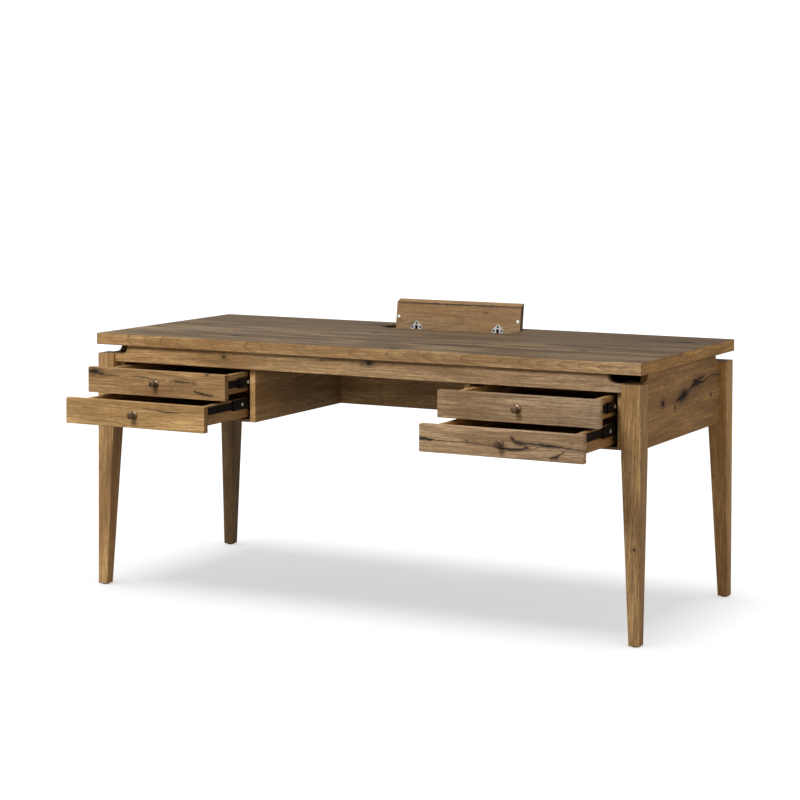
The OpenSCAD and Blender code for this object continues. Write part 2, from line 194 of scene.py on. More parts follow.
def inset(outline: np.ndarray, distance: float) -> np.ndarray:
    """Moves an anticlockwise outline inwards, each corner along the mitre of its two sides.

    Args:
        outline: Corners as n x 2.
        distance: How far each side moves in.

    Returns:
        The smaller outline, with as many corners.
    """
    side = np.roll(outline, -1, 0) - outline
    side = side / np.linalg.norm(side, axis=1, keepdims=True)
    inward = np.stack([-side[:, 1], side[:, 0]], 1)
    before = np.roll(inward, 1, 0)
    mitre = (inward + before) / (1 + (inward * before).sum(1, keepdims=True))
    return outline + mitre * distance


def plate(outline: np.ndarray, low: float, high: float, run: Run, ease: float,
          corner: float | None = None, steps: int = 3) -> Shell:
    """Gives an outline a thickness, with every edge eased to a quarter round.

    Ring k stands at ease * (1 - sin t) from the face and ease * (1 - cos t) inside the outline.

    Args:
        outline: Corners as n x 2, anticlockwise.
        low: Where the thickness starts along the run.
        high: Where it ends.
        run: The axis of the thickness.
        ease: Radius of the eased edges.
        corner: Radius of the outline's own corners, a little over ease when left out.
        steps: Points on each quarter round.

    Returns:
        The closed skin.
    """
    rim = filleted(outline, corner or ease * 1.3)
    t = np.linspace(0, math.pi / 2, steps)
    inwards = ease * (1 - np.sin(t))
    depth = ease * (1 - np.cos(t))
    flat = np.stack([inset(rim, d) for d in inwards] + [inset(rim, d) for d in inwards[::-1]])
    level = np.concatenate([low + depth, high - depth[::-1]])
    rings = np.zeros(flat.shape[:2] + (3,))
    rings[..., run.value[0]] = flat[..., 0]
    rings[..., run.value[1]] = flat[..., 1]
    rings[..., run.value[2]] = level[:, None]
    return loft(rings)


def rectangle(u0: float, u1: float, v0: float, v1: float) -> np.ndarray:
    """Returns the anticlockwise corners of a rectangle."""
    return np.array([[u0, v0], [u1, v0], [u1, v1], [u0, v1]], float)


def board(low: Sequence[float], high: Sequence[float], run: Run, ease: float = 1.2 * MM) -> Shell:
    """Returns a square-sawn board between two corners, its twelve edges eased.

    Args:
        low: Lowest corner.
        high: Highest corner.
        run: The axis of its thickness.
        ease: Radius of its edges.

    Returns:
        The closed skin.
    """
    u, v, w = run.value
    return plate(rectangle(low[u], high[u], low[v], high[v]), low[w], high[w], run, ease)


def turned(profile: np.ndarray, centre: Sequence[float], run: Run, sign: float = 1.0,
           around: int = 40) -> Shell:
    """Revolves a half section: point (r, h) becomes the circle of radius r at height h.

    Args:
        profile: Radius and height of each point, from one end of the axis to the other.
        centre: Where height 0 lies.
        run: The axis of revolution.
        sign: 1 when heights grow along the axis, -1 when they grow against it.
        around: Points on each circle.

    Returns:
        The closed skin.
    """
    angle = np.linspace(0, 2 * math.pi, around, endpoint=False)
    rings = np.zeros((len(profile), around, 3))
    rings[..., run.value[0]] = centre[run.value[0]] + profile[:, :1] * np.cos(angle)
    rings[..., run.value[1]] = centre[run.value[1]] + profile[:, :1] * np.sin(angle)
    rings[..., run.value[2]] = centre[run.value[2]] + sign * profile[:, 1:]
    return loft(rings)


def arc(cu: float, cv: float, radius: float, start: float, end: float, steps: int) -> np.ndarray:
    """Returns points on an arc, angles in degrees, as steps x 2."""
    t = np.radians(np.linspace(start, end, steps))
    return np.stack([cu + radius * np.cos(t), cv + radius * np.sin(t)], 1)


@dataclass
class Piece:
    """One visible object of the desk.

    Attributes:
        name: Its plain name.
        body: The moving body it rides on.
        slot: The material slot it belongs to; not used.
        stands_for: The frame's nodes that it takes the place of.
    """

    name: str
    body: str
    slot: str
    stands_for: tuple[str, ...]

    def made(self, shells: Iterable[Shell], finishes: Sequence[Material]) -> bpy.types.Object:
        """Builds the object at the origin and hands it to the frame.

        Args:
            shells: The skins it is made of.
            finishes: Its materials, in the order of the skins' marks.

        Returns:
            The object, riding on its body.
        """
        skin = Shell.joined(shells)
        mesh = bpy.data.meshes.new(self.name)
        mesh.from_pydata(skin.points.tolist(), [], skin.faces)
        for finish in finishes:
            mesh.materials.append(finish)
        mesh.polygons.foreach_set("material_index", skin.marks)
        work = bmesh.new()
        work.from_mesh(mesh)
        bmesh.ops.recalc_face_normals(work, faces=work.faces)
        work.to_mesh(mesh)
        work.free()
        mesh.shade_smooth()
        mesh.set_sharp_from_angle(angle=math.radians(50))
        thing = bpy.data.objects.new(self.name, mesh)
        bpy.context.scene.collection.objects.link(thing)
        weighted = thing.modifiers.new("flat faces stay flat", "WEIGHTED_NORMAL")
        weighted.keep_sharp = True
        weighted.weight = 100
        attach(thing, self.body)
        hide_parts(*self.stands_for)
        log.info("%s: %d faces on %s", self.name, len(mesh.polygons), self.body)
        return thing


def dress(nodes: Iterable[str], finish: Material) -> None:
    """Gives nodes of the frame that stay visible their finish.

    Args:
        nodes: Names of the nodes.
        finish: The material.
    """
    for name in nodes:
        mesh = frame["nodes"][name].data
        mesh.materials.clear()
        mesh.materials.append(finish)
        log.info("%s: dressed in %s", name, finish.name)


# ---- Node bench ----------------------------------------------------------------------------------
class Bench:
    """Lays out the nodes of one material, each method adding one node and returning its output."""

    def __init__(self, name: str) -> None:
        """Starts an empty material with one Principled shader.

        Args:
            name: Name of the material.
        """
        self.material = bpy.data.materials.new(name)
        self.material.use_nodes = True
        self.tree = self.material.node_tree
        self.tree.nodes.clear()
        out = self.tree.nodes.new("ShaderNodeOutputMaterial")
        self.shader = self.tree.nodes.new("ShaderNodeBsdfPrincipled")
        self.tree.links.new(self.shader.outputs[0], out.inputs[0])

    def feed(self, socket: Socket, value: "Value | Sequence[float]") -> None:
        """Links a value into a socket, or writes it there when it is a plain number or colour.

        Args:
            socket: The input to fill.
            value: Another node's output, a number, or a colour.
        """
        if isinstance(value, bpy.types.NodeSocket):
            self.tree.links.new(value, socket)
        elif hasattr(socket.default_value, "__len__"):
            size = len(socket.default_value)
            numbers = tuple(value) if hasattr(value, "__len__") else (value,) * size
            socket.default_value = numbers + (1.0,) * (size - len(numbers))
        else:
            socket.default_value = value

    def math(self, how: str, *values: Value, clamp: bool = False) -> Socket:
        """Adds a Math node.

        Args:
            how: The operation's name.
            *values: Its inputs.
            clamp: Whether the result stays between 0 and 1.

        Returns:
            The result.
        """
        node = self.tree.nodes.new("ShaderNodeMath")
        node.operation = how
        node.use_clamp = clamp
        for socket, value in zip(node.inputs, values):
            self.feed(socket, value)
        return node.outputs[0]

    def add(self, a: Value, b: Value) -> Socket:
        """Returns a + b."""
        return self.math("ADD", a, b)

    def sub(self, a: Value, b: Value) -> Socket:
        """Returns a - b."""
        return self.math("SUBTRACT", a, b)

    def mul(self, a: Value, b: Value) -> Socket:
        """Returns a * b."""
        return self.math("MULTIPLY", a, b)

    def madd(self, a: Value, b: Value, c: Value) -> Socket:
        """Returns a * b + c."""
        return self.math("MULTIPLY_ADD", a, b, c)

    def bell(self, distance: Value, width: float) -> Socket:
        """Returns exp(-(distance / width) ** 2), a soft bump one width across."""
        return self.math("POWER", math.e, self.mul(self.mul(distance, distance), -1 / width**2))

    def spread(self, value: Socket, low: float, high: float, to_low: float = 0.0,
               to_high: float = 1.0, smooth: bool = True) -> Socket:
        """Maps low..high onto another range, held at its ends.

        Args:
            value: The input.
            low: Input that gives to_low.
            high: Input that gives to_high.
            to_low: First end of the result.
            to_high: Other end of the result.
            smooth: Whether the slope eases in and out.

        Returns:
            The mapped value.
        """
        node = self.tree.nodes.new("ShaderNodeMapRange")
        node.interpolation_type = "SMOOTHSTEP" if smooth else "LINEAR"
        for socket, item in zip(node.inputs, (value, low, high, to_low, to_high)):
            self.feed(socket, item)
        return node.outputs[0]

    def vector(self, x: Value, y: Value, z: Value) -> Socket:
        """Joins three values into one vector.

        Args:
            x: First part.
            y: Second part.
            z: Third part.

        Returns:
            The vector (x, y, z).
        """
        node = self.tree.nodes.new("ShaderNodeCombineXYZ")
        for socket, value in zip(node.inputs, (x, y, z)):
            self.feed(socket, value)
        return node.outputs[0]

    def noise(self, at: Socket, scale: float = 1.0, detail: float = 2.0,
              rough: float = 0.5) -> Socket:
        """Returns fractal noise about 0.5.

        Args:
            at: Where it is read.
            scale: Waves per unit.
            detail: Number of finer layers.
            rough: Strength of each finer layer.

        Returns:
            The noise value.
        """
        node = self.tree.nodes.new("ShaderNodeTexNoise")
        for name, value in (("Vector", at), ("Scale", scale), ("Detail", detail),
                            ("Roughness", rough)):
            self.feed(node.inputs[name], value)
        return node.outputs[0]

    def streaks(self, at: tuple[Value, Value, Value], along: float, across: float, shift: float,
                detail: float = 2.0, rough: float = 0.5) -> Socket:
        """Returns noise drawn out along the first of three coordinates.

        Args:
            at: Distance along, across and through the board.
            along: Waves per metre along it.
            across: Waves per metre across and through it.
            shift: Where along the noise the board starts.
            detail: Number of finer layers.
            rough: Strength of each finer layer.

        Returns:
            The noise value.
        """
        x, y, z = at
        point = self.vector(self.madd(x, along, shift), self.mul(y, across), self.mul(z, across))
        return self.noise(point, detail=detail, rough=rough)

    def chance(self, at: Socket) -> Socket:
        """Adds a White Noise node.

        Args:
            at: A whole number.

        Returns:
            One random number, from 0 to 1, for each value of it.
        """
        node = self.tree.nodes.new("ShaderNodeTexWhiteNoise")
        node.noise_dimensions = "1D"
        self.feed(node.inputs["W"], at)
        return node.outputs[0]

    def mix(self, share: Value, a: Tint, b: Tint,
            how: str = "MIX") -> Socket:
        """Mixes two colours.

        Args:
            share: How much of b.
            a: First colour.
            b: Second colour.
            how: The blending mode.

        Returns:
            The mixed colour.
        """
        node = self.tree.nodes.new("ShaderNodeMix")
        node.data_type = "RGBA"
        node.blend_type = how
        self.feed(node.inputs[0], share)
        self.feed(node.inputs[6], a)
        self.feed(node.inputs[7], b)
        return node.outputs[2]

    def curve(self, at: Socket, points: Sequence[tuple[float, float]]) -> Socket:
        """Returns a smooth curve through points whose two numbers lie between 0 and 1.

        Args:
            at: Where the curve is read.
            points: Its points, from left to right.

        Returns:
            The curve's height.
        """
        node = self.tree.nodes.new("ShaderNodeFloatCurve")
        line = node.mapping.curves[0]
        line.points[0].location, line.points[-1].location = points[0], points[-1]
        for point in points[1:-1]:
            line.points.new(*point)
        node.mapping.update()
        self.feed(node.inputs["Value"], at)
        return node.outputs[0]

    def place(self, shift: Sequence[float] = (0, 0, 0), turn: float = 0.0) -> Socket:
        """Returns the point in the piece's own coordinates.

        Args:
            shift: Point that becomes the origin.
            turn: Angle about X, in radians, that is taken out about that origin.

        Returns:
            The shifted, turned point.
        """
        where = self.tree.nodes.new("ShaderNodeTexCoord").outputs["Object"]
        move = self.tree.nodes.new("ShaderNodeMapping")
        move.vector_type = "TEXTURE"
        self.feed(move.inputs["Vector"], where)
        move.inputs["Location"].default_value = tuple(shift)
        move.inputs["Rotation"].default_value = (turn, 0, 0)
        return move.outputs[0]

    def end_on(self, axis: int, turn: float = 0.0) -> Socket:
        """Finds how squarely the surface faces along an axis of the board.

        Args:
            axis: The axis, from 0 to 2.
            turn: Angle about X at which the board stands, in radians.

        Returns:
            The size of the cosine between the surface's normal and that axis.
        """
        normal = self.tree.nodes.new("ShaderNodeTexCoord").outputs["Normal"]
        spin = self.tree.nodes.new("ShaderNodeVectorRotate")
        spin.rotation_type = "X_AXIS"
        spin.inputs["Angle"].default_value = -turn
        self.feed(spin.inputs["Vector"], normal)
        return self.math("ABSOLUTE", self.split(spin.outputs[0])[axis])

    def split(self, at: Socket) -> tuple[Socket, Socket, Socket]:
        """Takes a vector apart.

        Args:
            at: The vector.

        Returns:
            Its three parts.
        """
        node = self.tree.nodes.new("ShaderNodeSeparateXYZ")
        self.feed(node.inputs[0], at)
        return tuple(node.outputs)

    def bump(self, height: Socket, distance: float, strength: float) -> None:
        """Raises the surface.

        Args:
            height: Height from 0 to 1.
            distance: Height of 1, in metres.
            strength: How strongly it shows.
        """
        node = self.tree.nodes.new("ShaderNodeBump")
        node.inputs["Distance"].default_value = distance
        node.inputs["Strength"].default_value = strength
        self.feed(node.inputs["Height"], height)
        self.feed(self.shader.inputs["Normal"], node.outputs[0])

    def finish(self, colour: Tint, rough: Value, **constants: "float | Sequence[float]") -> None:
        """Feeds the shader.

        Args:
            colour: Base colour.
            rough: Roughness.
            **constants: Other sockets by name, underscores for spaces.
        """
        self.feed(self.shader.inputs["Base Color"], colour)
        self.feed(self.shader.inputs["Roughness"], rough)
        for name, value in constants.items():
            self.shader.inputs[name.replace("_", " ")].default_value = value


# ---- Oak -----------------------------------------------------------------------------------------
class Grain(Enum):
    """Axes of a board: along its fibres, across its face, and through its thickness."""

    X_FACING_Y = (0, 2, 1)
    X_FACING_Z = (0, 1, 2)
    Y_FACING_X = (1, 2, 0)
    Z_FACING_Y = (2, 0, 1)


@dataclass(frozen=True)
class Knot:
    """A knot, placed from the board's middle, in millimetres along and across its face."""

    along: float
    across: float
    radius: float
    stretch: float = 1.5
    depth: float = 1.0


@dataclass(frozen=True)
class Crack:
    """A dark split that runs through points along and across the face, in millimetres."""

    path: tuple[tuple[float, float], ...]
    widths: tuple[float, ...]
    stain: float = 5.0


@dataclass(frozen=True)
class Sawn:
    """How one board was sawn from the log.

    Attributes:
        heart: Where the log's heart passes the board's middle, across and through, in metres.
        slope: Drift of the heart through the board per metre of length.
        drift: Drift of the heart across the board per metre of length.
        knots: Knots on its face.
        cracks: Splits on its face.
        plank: Width of the planks it is glued up from, or 0 for one board.
        seam: Where one of the seams between planks lies across the board.
        mitre: Half length at which the board ends in a dark mitre line, or 0 for none.
        sway: How much the grain wanders.
        shade: Colour multiplier where the board starts; partly the wood's own tone, partly painted
            light and shade for how the lamps fall on it.
        shade_end: The same multiplier where it ends, when that differs.
        ends: How light its end grain is beside its face.
    """

    seed: int
    heart: tuple[float, float] = (0.01, 0.09)
    slope: float = 0.03
    drift: float = 0.0
    knots: tuple[Knot, ...] = ()
    cracks: tuple[Crack, ...] = ()
    plank: float = 0.0
    seam: float = 0.0
    mitre: float = 0.0
    sway: float = 1.0
    shade: Colour = (1.0, 1.0, 1.0)
    shade_end: Colour | None = None
    ends: float = 0.62


@dataclass(frozen=True)
class Oak:
    """Rustic oak under a thin matt oil.

    Attributes:
        pale: Colour of the early wood.
        mid: Colour of the darker blotches.
        late: Colour of the late wood lines.
        knot: Colour of knots and splits.
        ring_gap: Usual distance between growth rings, in metres.
        figure: How strongly the rings show.
        sheen: Roughness of the oil.
        gloss: How strongly the oil mirrors.
    """

    name: str
    pale: Colour = (0.52, 0.325, 0.145)
    mid: Colour = (0.31, 0.178, 0.07)
    late: Colour = (0.14, 0.073, 0.027)
    knot: Colour = (0.016, 0.009, 0.006)
    ring_gap: float = 0.0035
    figure: float = 0.72
    sheen: float = 0.5
    gloss: float = 0.35

    def cut(self, name: str, low: Sequence[float], high: Sequence[float], grain: Grain,
            sawn: Sawn, turn: float = 0.0, about: Sequence[float] | None = None) -> Material:
        """Makes the material of one board, with its own part of the log.

        The rings are circles about the log's heart, so a face nearly parallel to it shows arches
        and a face across it shows end grain. Knots push the rings aside; fibres are noise drawn
        out along the board.

        Args:
            name: Name of the board.
            low: The board's lowest corner.
            high: Its highest corner.
            grain: Which way it lies.
            sawn: How it was sawn.
            turn: Angle about X at which it stands, in radians.
            about: Its middle, when it isn't the middle of its box.

        Returns:
            The material.
        """
        b = Bench(f"{self.name} {name}".replace(" ", "_"))
        middle = about or [(p + q) / 2 for p, q in zip(low, high)]
        parts = b.split(b.place(middle, turn))
        x, y, z = (parts[i] for i in grain.value)
        length, width, _ = (high[i] - low[i] for i in grain.value)
        seam, tone = None, None
        s = sawn.seed * 7.31
        px, py = x, y
        if sawn.plank:
            place = b.madd(y, 1 / sawn.plank, -sawn.seam / sawn.plank)
            row = b.math("FLOOR", place)
            lot = b.chance(b.add(row, sawn.seed * 0.37))
            tone = b.chance(b.add(row, sawn.seed * 0.71 + 0.5))
            seam = b.bell(b.mul(b.sub(b.math("FRACT", b.add(place, 0.5)), 0.5), sawn.plank), 0.0007)
            x, z = b.madd(lot, 9.0, x), b.madd(b.sub(lot, 0.5), 0.12, z)
            y = b.madd(tone, 0.08, y)
        slow = b.streaks((x, y, z), 1.1, 6.0, s, detail=1.0)
        wavy = b.streaks((x, y, z), 7.0, 24.0, s)
        y1 = b.add(y, b.madd(b.sub(slow, 0.5), 0.05 * sawn.sway,
                             b.mul(b.sub(wavy, 0.5), 0.008 * sawn.sway)))
        dark, stain = 0.0, 0.0
        for knot in sawn.knots:
            y1, dark, stain = self._knot(b, knot, px, py, y1, dark, stain)
        for crack in sawn.cracks:
            dark, stain = self._crack(b, crack, length, width, px, py, dark, stain, s)
        heart_y, heart_z = sawn.heart
        across = b.sub(b.madd(px, sawn.drift, y1), heart_y)
        through = b.add(b.madd(px, sawn.slope, z), heart_z)
        radius = b.math("SQRT", b.add(b.mul(across, across), b.mul(through, through)))
        ring = b.madd(radius, 1 / self.ring_gap, b.mul(wavy, 0.9 * sawn.sway))
        phase = b.math("FRACT", ring)
        line = b.math("MAXIMUM", b.spread(phase, 0.80, 0.93), b.spread(phase, 0.25, 0.9, 0.0, 0.45))
        line = b.mul(line, b.spread(phase, 1.0, 0.965))
        line = b.mul(line, b.spread(b.chance(b.math("FLOOR", ring)), 0.0, 1.0, 0.25, 1.0))
        at = (x, y1, z)
        fibre = b.streaks(at, 9.0, 330.0, s, 3.0, 0.62)
        pore = b.streaks(at, 38.0, 1250.0, s, 1.0)
        pore = b.mul(b.spread(pore, 0.56, 0.70), b.spread(phase, 0.75, 0.05, 0.25, 1.0))
        cloud = b.streaks(at, 2.6, 17.0, s, 3.0, 0.55)
        streak = b.streaks(at, 6.0, 95.0, s, 4.0, 0.68)
        fleck = b.streaks(at, 48.0, 210.0, s, 2.0, 0.6)
        colour = b.mix(b.spread(cloud, 0.38, 0.62), self.pale, self.mid)
        colour = b.mix(b.spread(streak, 0.58, 0.38, 0.0, 0.36), colour, self.late)
        colour = b.mix(b.spread(fleck, 0.56, 0.36, 0.0, 0.34), colour, self.late)
        if tone is not None:
            colour = b.mix(b.spread(tone, 0.1, 0.9, 0.0, 0.85), colour, self.mid)
        colour = b.mix(b.mul(line, self.figure), colour, self.late)
        colour = b.mix(b.spread(fibre, 0.58, 0.38, 0.0, 0.55), colour, self.late)
        colour = b.mix(b.mul(pore, 0.6), colour, times(self.late, 0.4))
        if seam is not None:
            colour = b.mix(b.mul(seam, 0.75), colour, times(self.late, 0.3))
        if sawn.mitre:
            end = b.sub(b.math("ABSOLUTE", px), sawn.mitre)
            colour = b.mix(b.mul(b.bell(end, 0.0009), 0.8), colour, self.knot)
        if sawn.knots or sawn.cracks:
            colour = b.mix(b.math("MINIMUM", stain, 0.85), colour, times(self.late, 0.42))
            colour = b.mix(b.math("MINIMUM", dark, 0.97), colour, self.knot)
        # Multiplies the colour from shade to shade_end along the board: partly the wood's own tone,
        # partly painted light and shade for how the lamps fall on it.
        tone_and_painted_light = b.mix(b.madd(px, 1 / length, 0.5), sawn.shade, sawn.shade_end or sawn.shade)
        colour = b.mix(1.0, colour, tone_and_painted_light, "MULTIPLY")
        colour = b.mix(b.spread(b.end_on(grain.value[0], turn), 0.55, 0.9), colour,
                       b.mix(1.0, colour, (sawn.ends,) * 3, "MULTIPLY"))
        height = b.madd(line, -0.25, b.madd(fibre, 0.7, b.mul(pore, -0.5)))
        if sawn.knots or sawn.cracks:
            height = b.madd(dark, -1.6, height)
        b.bump(height, 0.0006, 0.55)
        rough = b.spread(fibre, 0.3, 0.7, self.sheen - 0.06, self.sheen + 0.12, smooth=False)
        if sawn.knots or sawn.cracks:
            rough = b.madd(dark, 0.4, rough)
        b.finish(colour, rough, Specular_IOR_Level=self.gloss)
        return b.material

    @staticmethod
    def _knot(b: Bench, knot: Knot, x: Socket, y: Socket, y1: Socket, dark: Value,
              stain: Value) -> tuple[Socket, Socket, Socket]:
        """Adds one knot: the grain parts round it, and its core and rings darken.

        Args:
            b: The material's bench.
            knot: The knot.
            x: Distance along the board.
            y: Distance across it.
            y1: Grain coordinate so far.
            dark: Darkness so far.
            stain: Stain so far.

        Returns:
            The new grain coordinate, darkness and stain.
        """
        r = knot.radius * MM
        dx, dy = b.sub(x, knot.along * MM), b.sub(y, knot.across * MM)
        far = b.math("SQRT", b.add(b.math("POWER", b.mul(dx, 1 / (3.6 * r)), 2),
                                   b.math("POWER", b.mul(dy, 1 / (1.9 * r)), 2)))
        pull = b.bell(far, 1.0)
        y1 = b.sub(y1, b.mul(b.mul(dy, 0.72), pull))
        grit = b.noise(b.vector(b.mul(x, 160.0), b.mul(y, 260.0), 0.0), detail=2.0, rough=0.6)
        near = b.math("SQRT", b.add(b.math("POWER", b.mul(dx, 1 / (knot.stretch * r)), 2),
                                    b.math("POWER", b.mul(dy, 1 / r), 2)))
        near = b.madd(b.sub(grit, 0.5), 1.1, near)
        core = b.mul(b.spread(near, 1.0, 0.45), knot.depth)
        ring = b.mul(b.spread(b.math("SINE", b.mul(near, 9.0)), 0.2, 1.0), b.spread(near, 3.4, 1.2))
        ring = b.mul(b.math("MAXIMUM", ring, b.spread(near, 2.2, 0.8)), 0.62 * knot.depth)
        return y1, b.math("MAXIMUM", dark, core), b.math("MAXIMUM", stain, ring)

    @staticmethod
    def _crack(b: Bench, crack: Crack, length: float, width: float, x: Socket, y: Socket,
               dark: Value, stain: Value, seed: float) -> tuple[Socket, Socket]:
        """Adds one split: a ragged dark line along its path, with a stain beside it.

        Args:
            b: The material's bench.
            crack: The split.
            length: The board's length.
            width: The board's width.
            x: Distance along the board.
            y: Distance across it.
            dark: Darkness so far.
            stain: Stain so far.
            seed: Shift of the board's noise.

        Returns:
            The new darkness and stain.
        """
        t = b.madd(x, 1 / length, 0.5)
        ends = [(p[0] * MM / length + 0.5, p[1] * MM / width + 0.5) for p in crack.path]
        widest = max(crack.widths)
        spans = [(p[0], w / widest) for p, w in zip(ends, crack.widths)]
        path = b.mul(b.sub(b.curve(t, ends), 0.5), width)
        grit = b.vector(b.madd(x, 75.0, seed), b.mul(y, 160.0), 1.0)
        ragged = b.noise(grit, detail=3.0, rough=0.6)
        gap = b.math("ABSOLUTE", b.madd(b.sub(ragged, 0.5), 0.007, b.sub(y, path)))
        span = b.mul(b.curve(t, spans), widest * 1.5 * MM)
        inside = b.math("LESS_THAN", b.math("ABSOLUTE", b.sub(t, (ends[0][0] + ends[-1][0]) / 2)),
                        (ends[-1][0] - ends[0][0]) / 2)
        core = b.mul(b.math("MULTIPLY", b.sub(span, gap), 1 / (0.5 * MM), clamp=True), inside)
        blur = b.mul(b.bell(b.math("MAXIMUM", b.sub(gap, span), 0.0), crack.stain * MM),
                     b.mul(inside, b.math("MULTIPLY", span, 0.6 / (widest * MM), clamp=True)))
        return b.math("MAXIMUM", dark, core), b.math("MAXIMUM", stain, blur)


# ---- Metal and plastic ---------------------------------------------------------------------------
@dataclass(frozen=True)
class Metal:
    """Plated or patinated metal: colour and roughness drift slowly, with fine scratches."""

    name: str
    colour: Colour
    rough: float
    patina: float = 0.35
    metallic: float = 1.0
    grain: float = 900.0
    gloss: float = 0.5

    def mix(self) -> Material:
        """Returns the material."""
        b = Bench(self.name)
        at = b.place()
        cloud = b.noise(at, scale=self.grain * 0.12, detail=3.0)
        fine = b.noise(at, scale=self.grain, detail=2.0, rough=0.6)
        dull = times(self.colour, 1 - self.patina)
        colour = b.mix(b.spread(cloud, 0.38, 0.64), self.colour, dull)
        colour = b.mix(b.spread(fine, 0.55, 0.75, 0.0, 0.5), colour, dull)
        b.bump(fine, 0.0001, 0.35)
        rough = b.spread(cloud, 0.3, 0.7, self.rough - 0.08, self.rough + 0.1, smooth=False)
        b.finish(colour, rough, Metallic=self.metallic, Specular_IOR_Level=self.gloss)
        return b.material


@dataclass(frozen=True)
class Moulded:
    """Moulded plastic with a faint spark-eroded grain."""

    name: str
    colour: Colour
    rough: float = 0.45
    glow: float = 0.0

    def mix(self) -> Material:
        """Returns the material."""
        b = Bench(self.name)
        at = b.place()
        fine = b.noise(at, scale=1400.0, detail=2.0)
        slow = b.noise(at, scale=120.0, detail=1.0)
        colour = b.mix(b.spread(slow, 0.35, 0.65), self.colour, times(self.colour, 0.86))
        b.bump(fine, 0.00008, 0.4)
        b.finish(colour, b.spread(fine, 0.3, 0.7, self.rough - 0.05, self.rough + 0.07),
                 Subsurface_Weight=self.glow, Subsurface_Scale=0.004)
        return b.material


# ---- Studio --------------------------------------------------------------------------------------
def frame_of(x: np.ndarray, y: np.ndarray, z: np.ndarray, at: Sequence[float]) -> Matrix:
    """Returns the 4 x 4 matrix with three axes and an origin as its columns."""
    return Matrix(np.vstack([np.column_stack([x, y, z, at]), (0, 0, 0, 1)]).tolist())


@dataclass(frozen=True)
class Lamp:
    """A soft rectangular light that hangs at one point, faces another and leaves the floor alone.

    Attributes:
        name: Its name.
        at: Where it hangs.
        to: The point it faces.
        size: Its width and height.
        power: Its power in watts.
        colour: Its colour.
    """

    name: str
    at: tuple[float, float, float]
    to: tuple[float, float, float]
    size: tuple[float, float]
    power: float
    colour: Colour = (1.0, 1.0, 1.0)


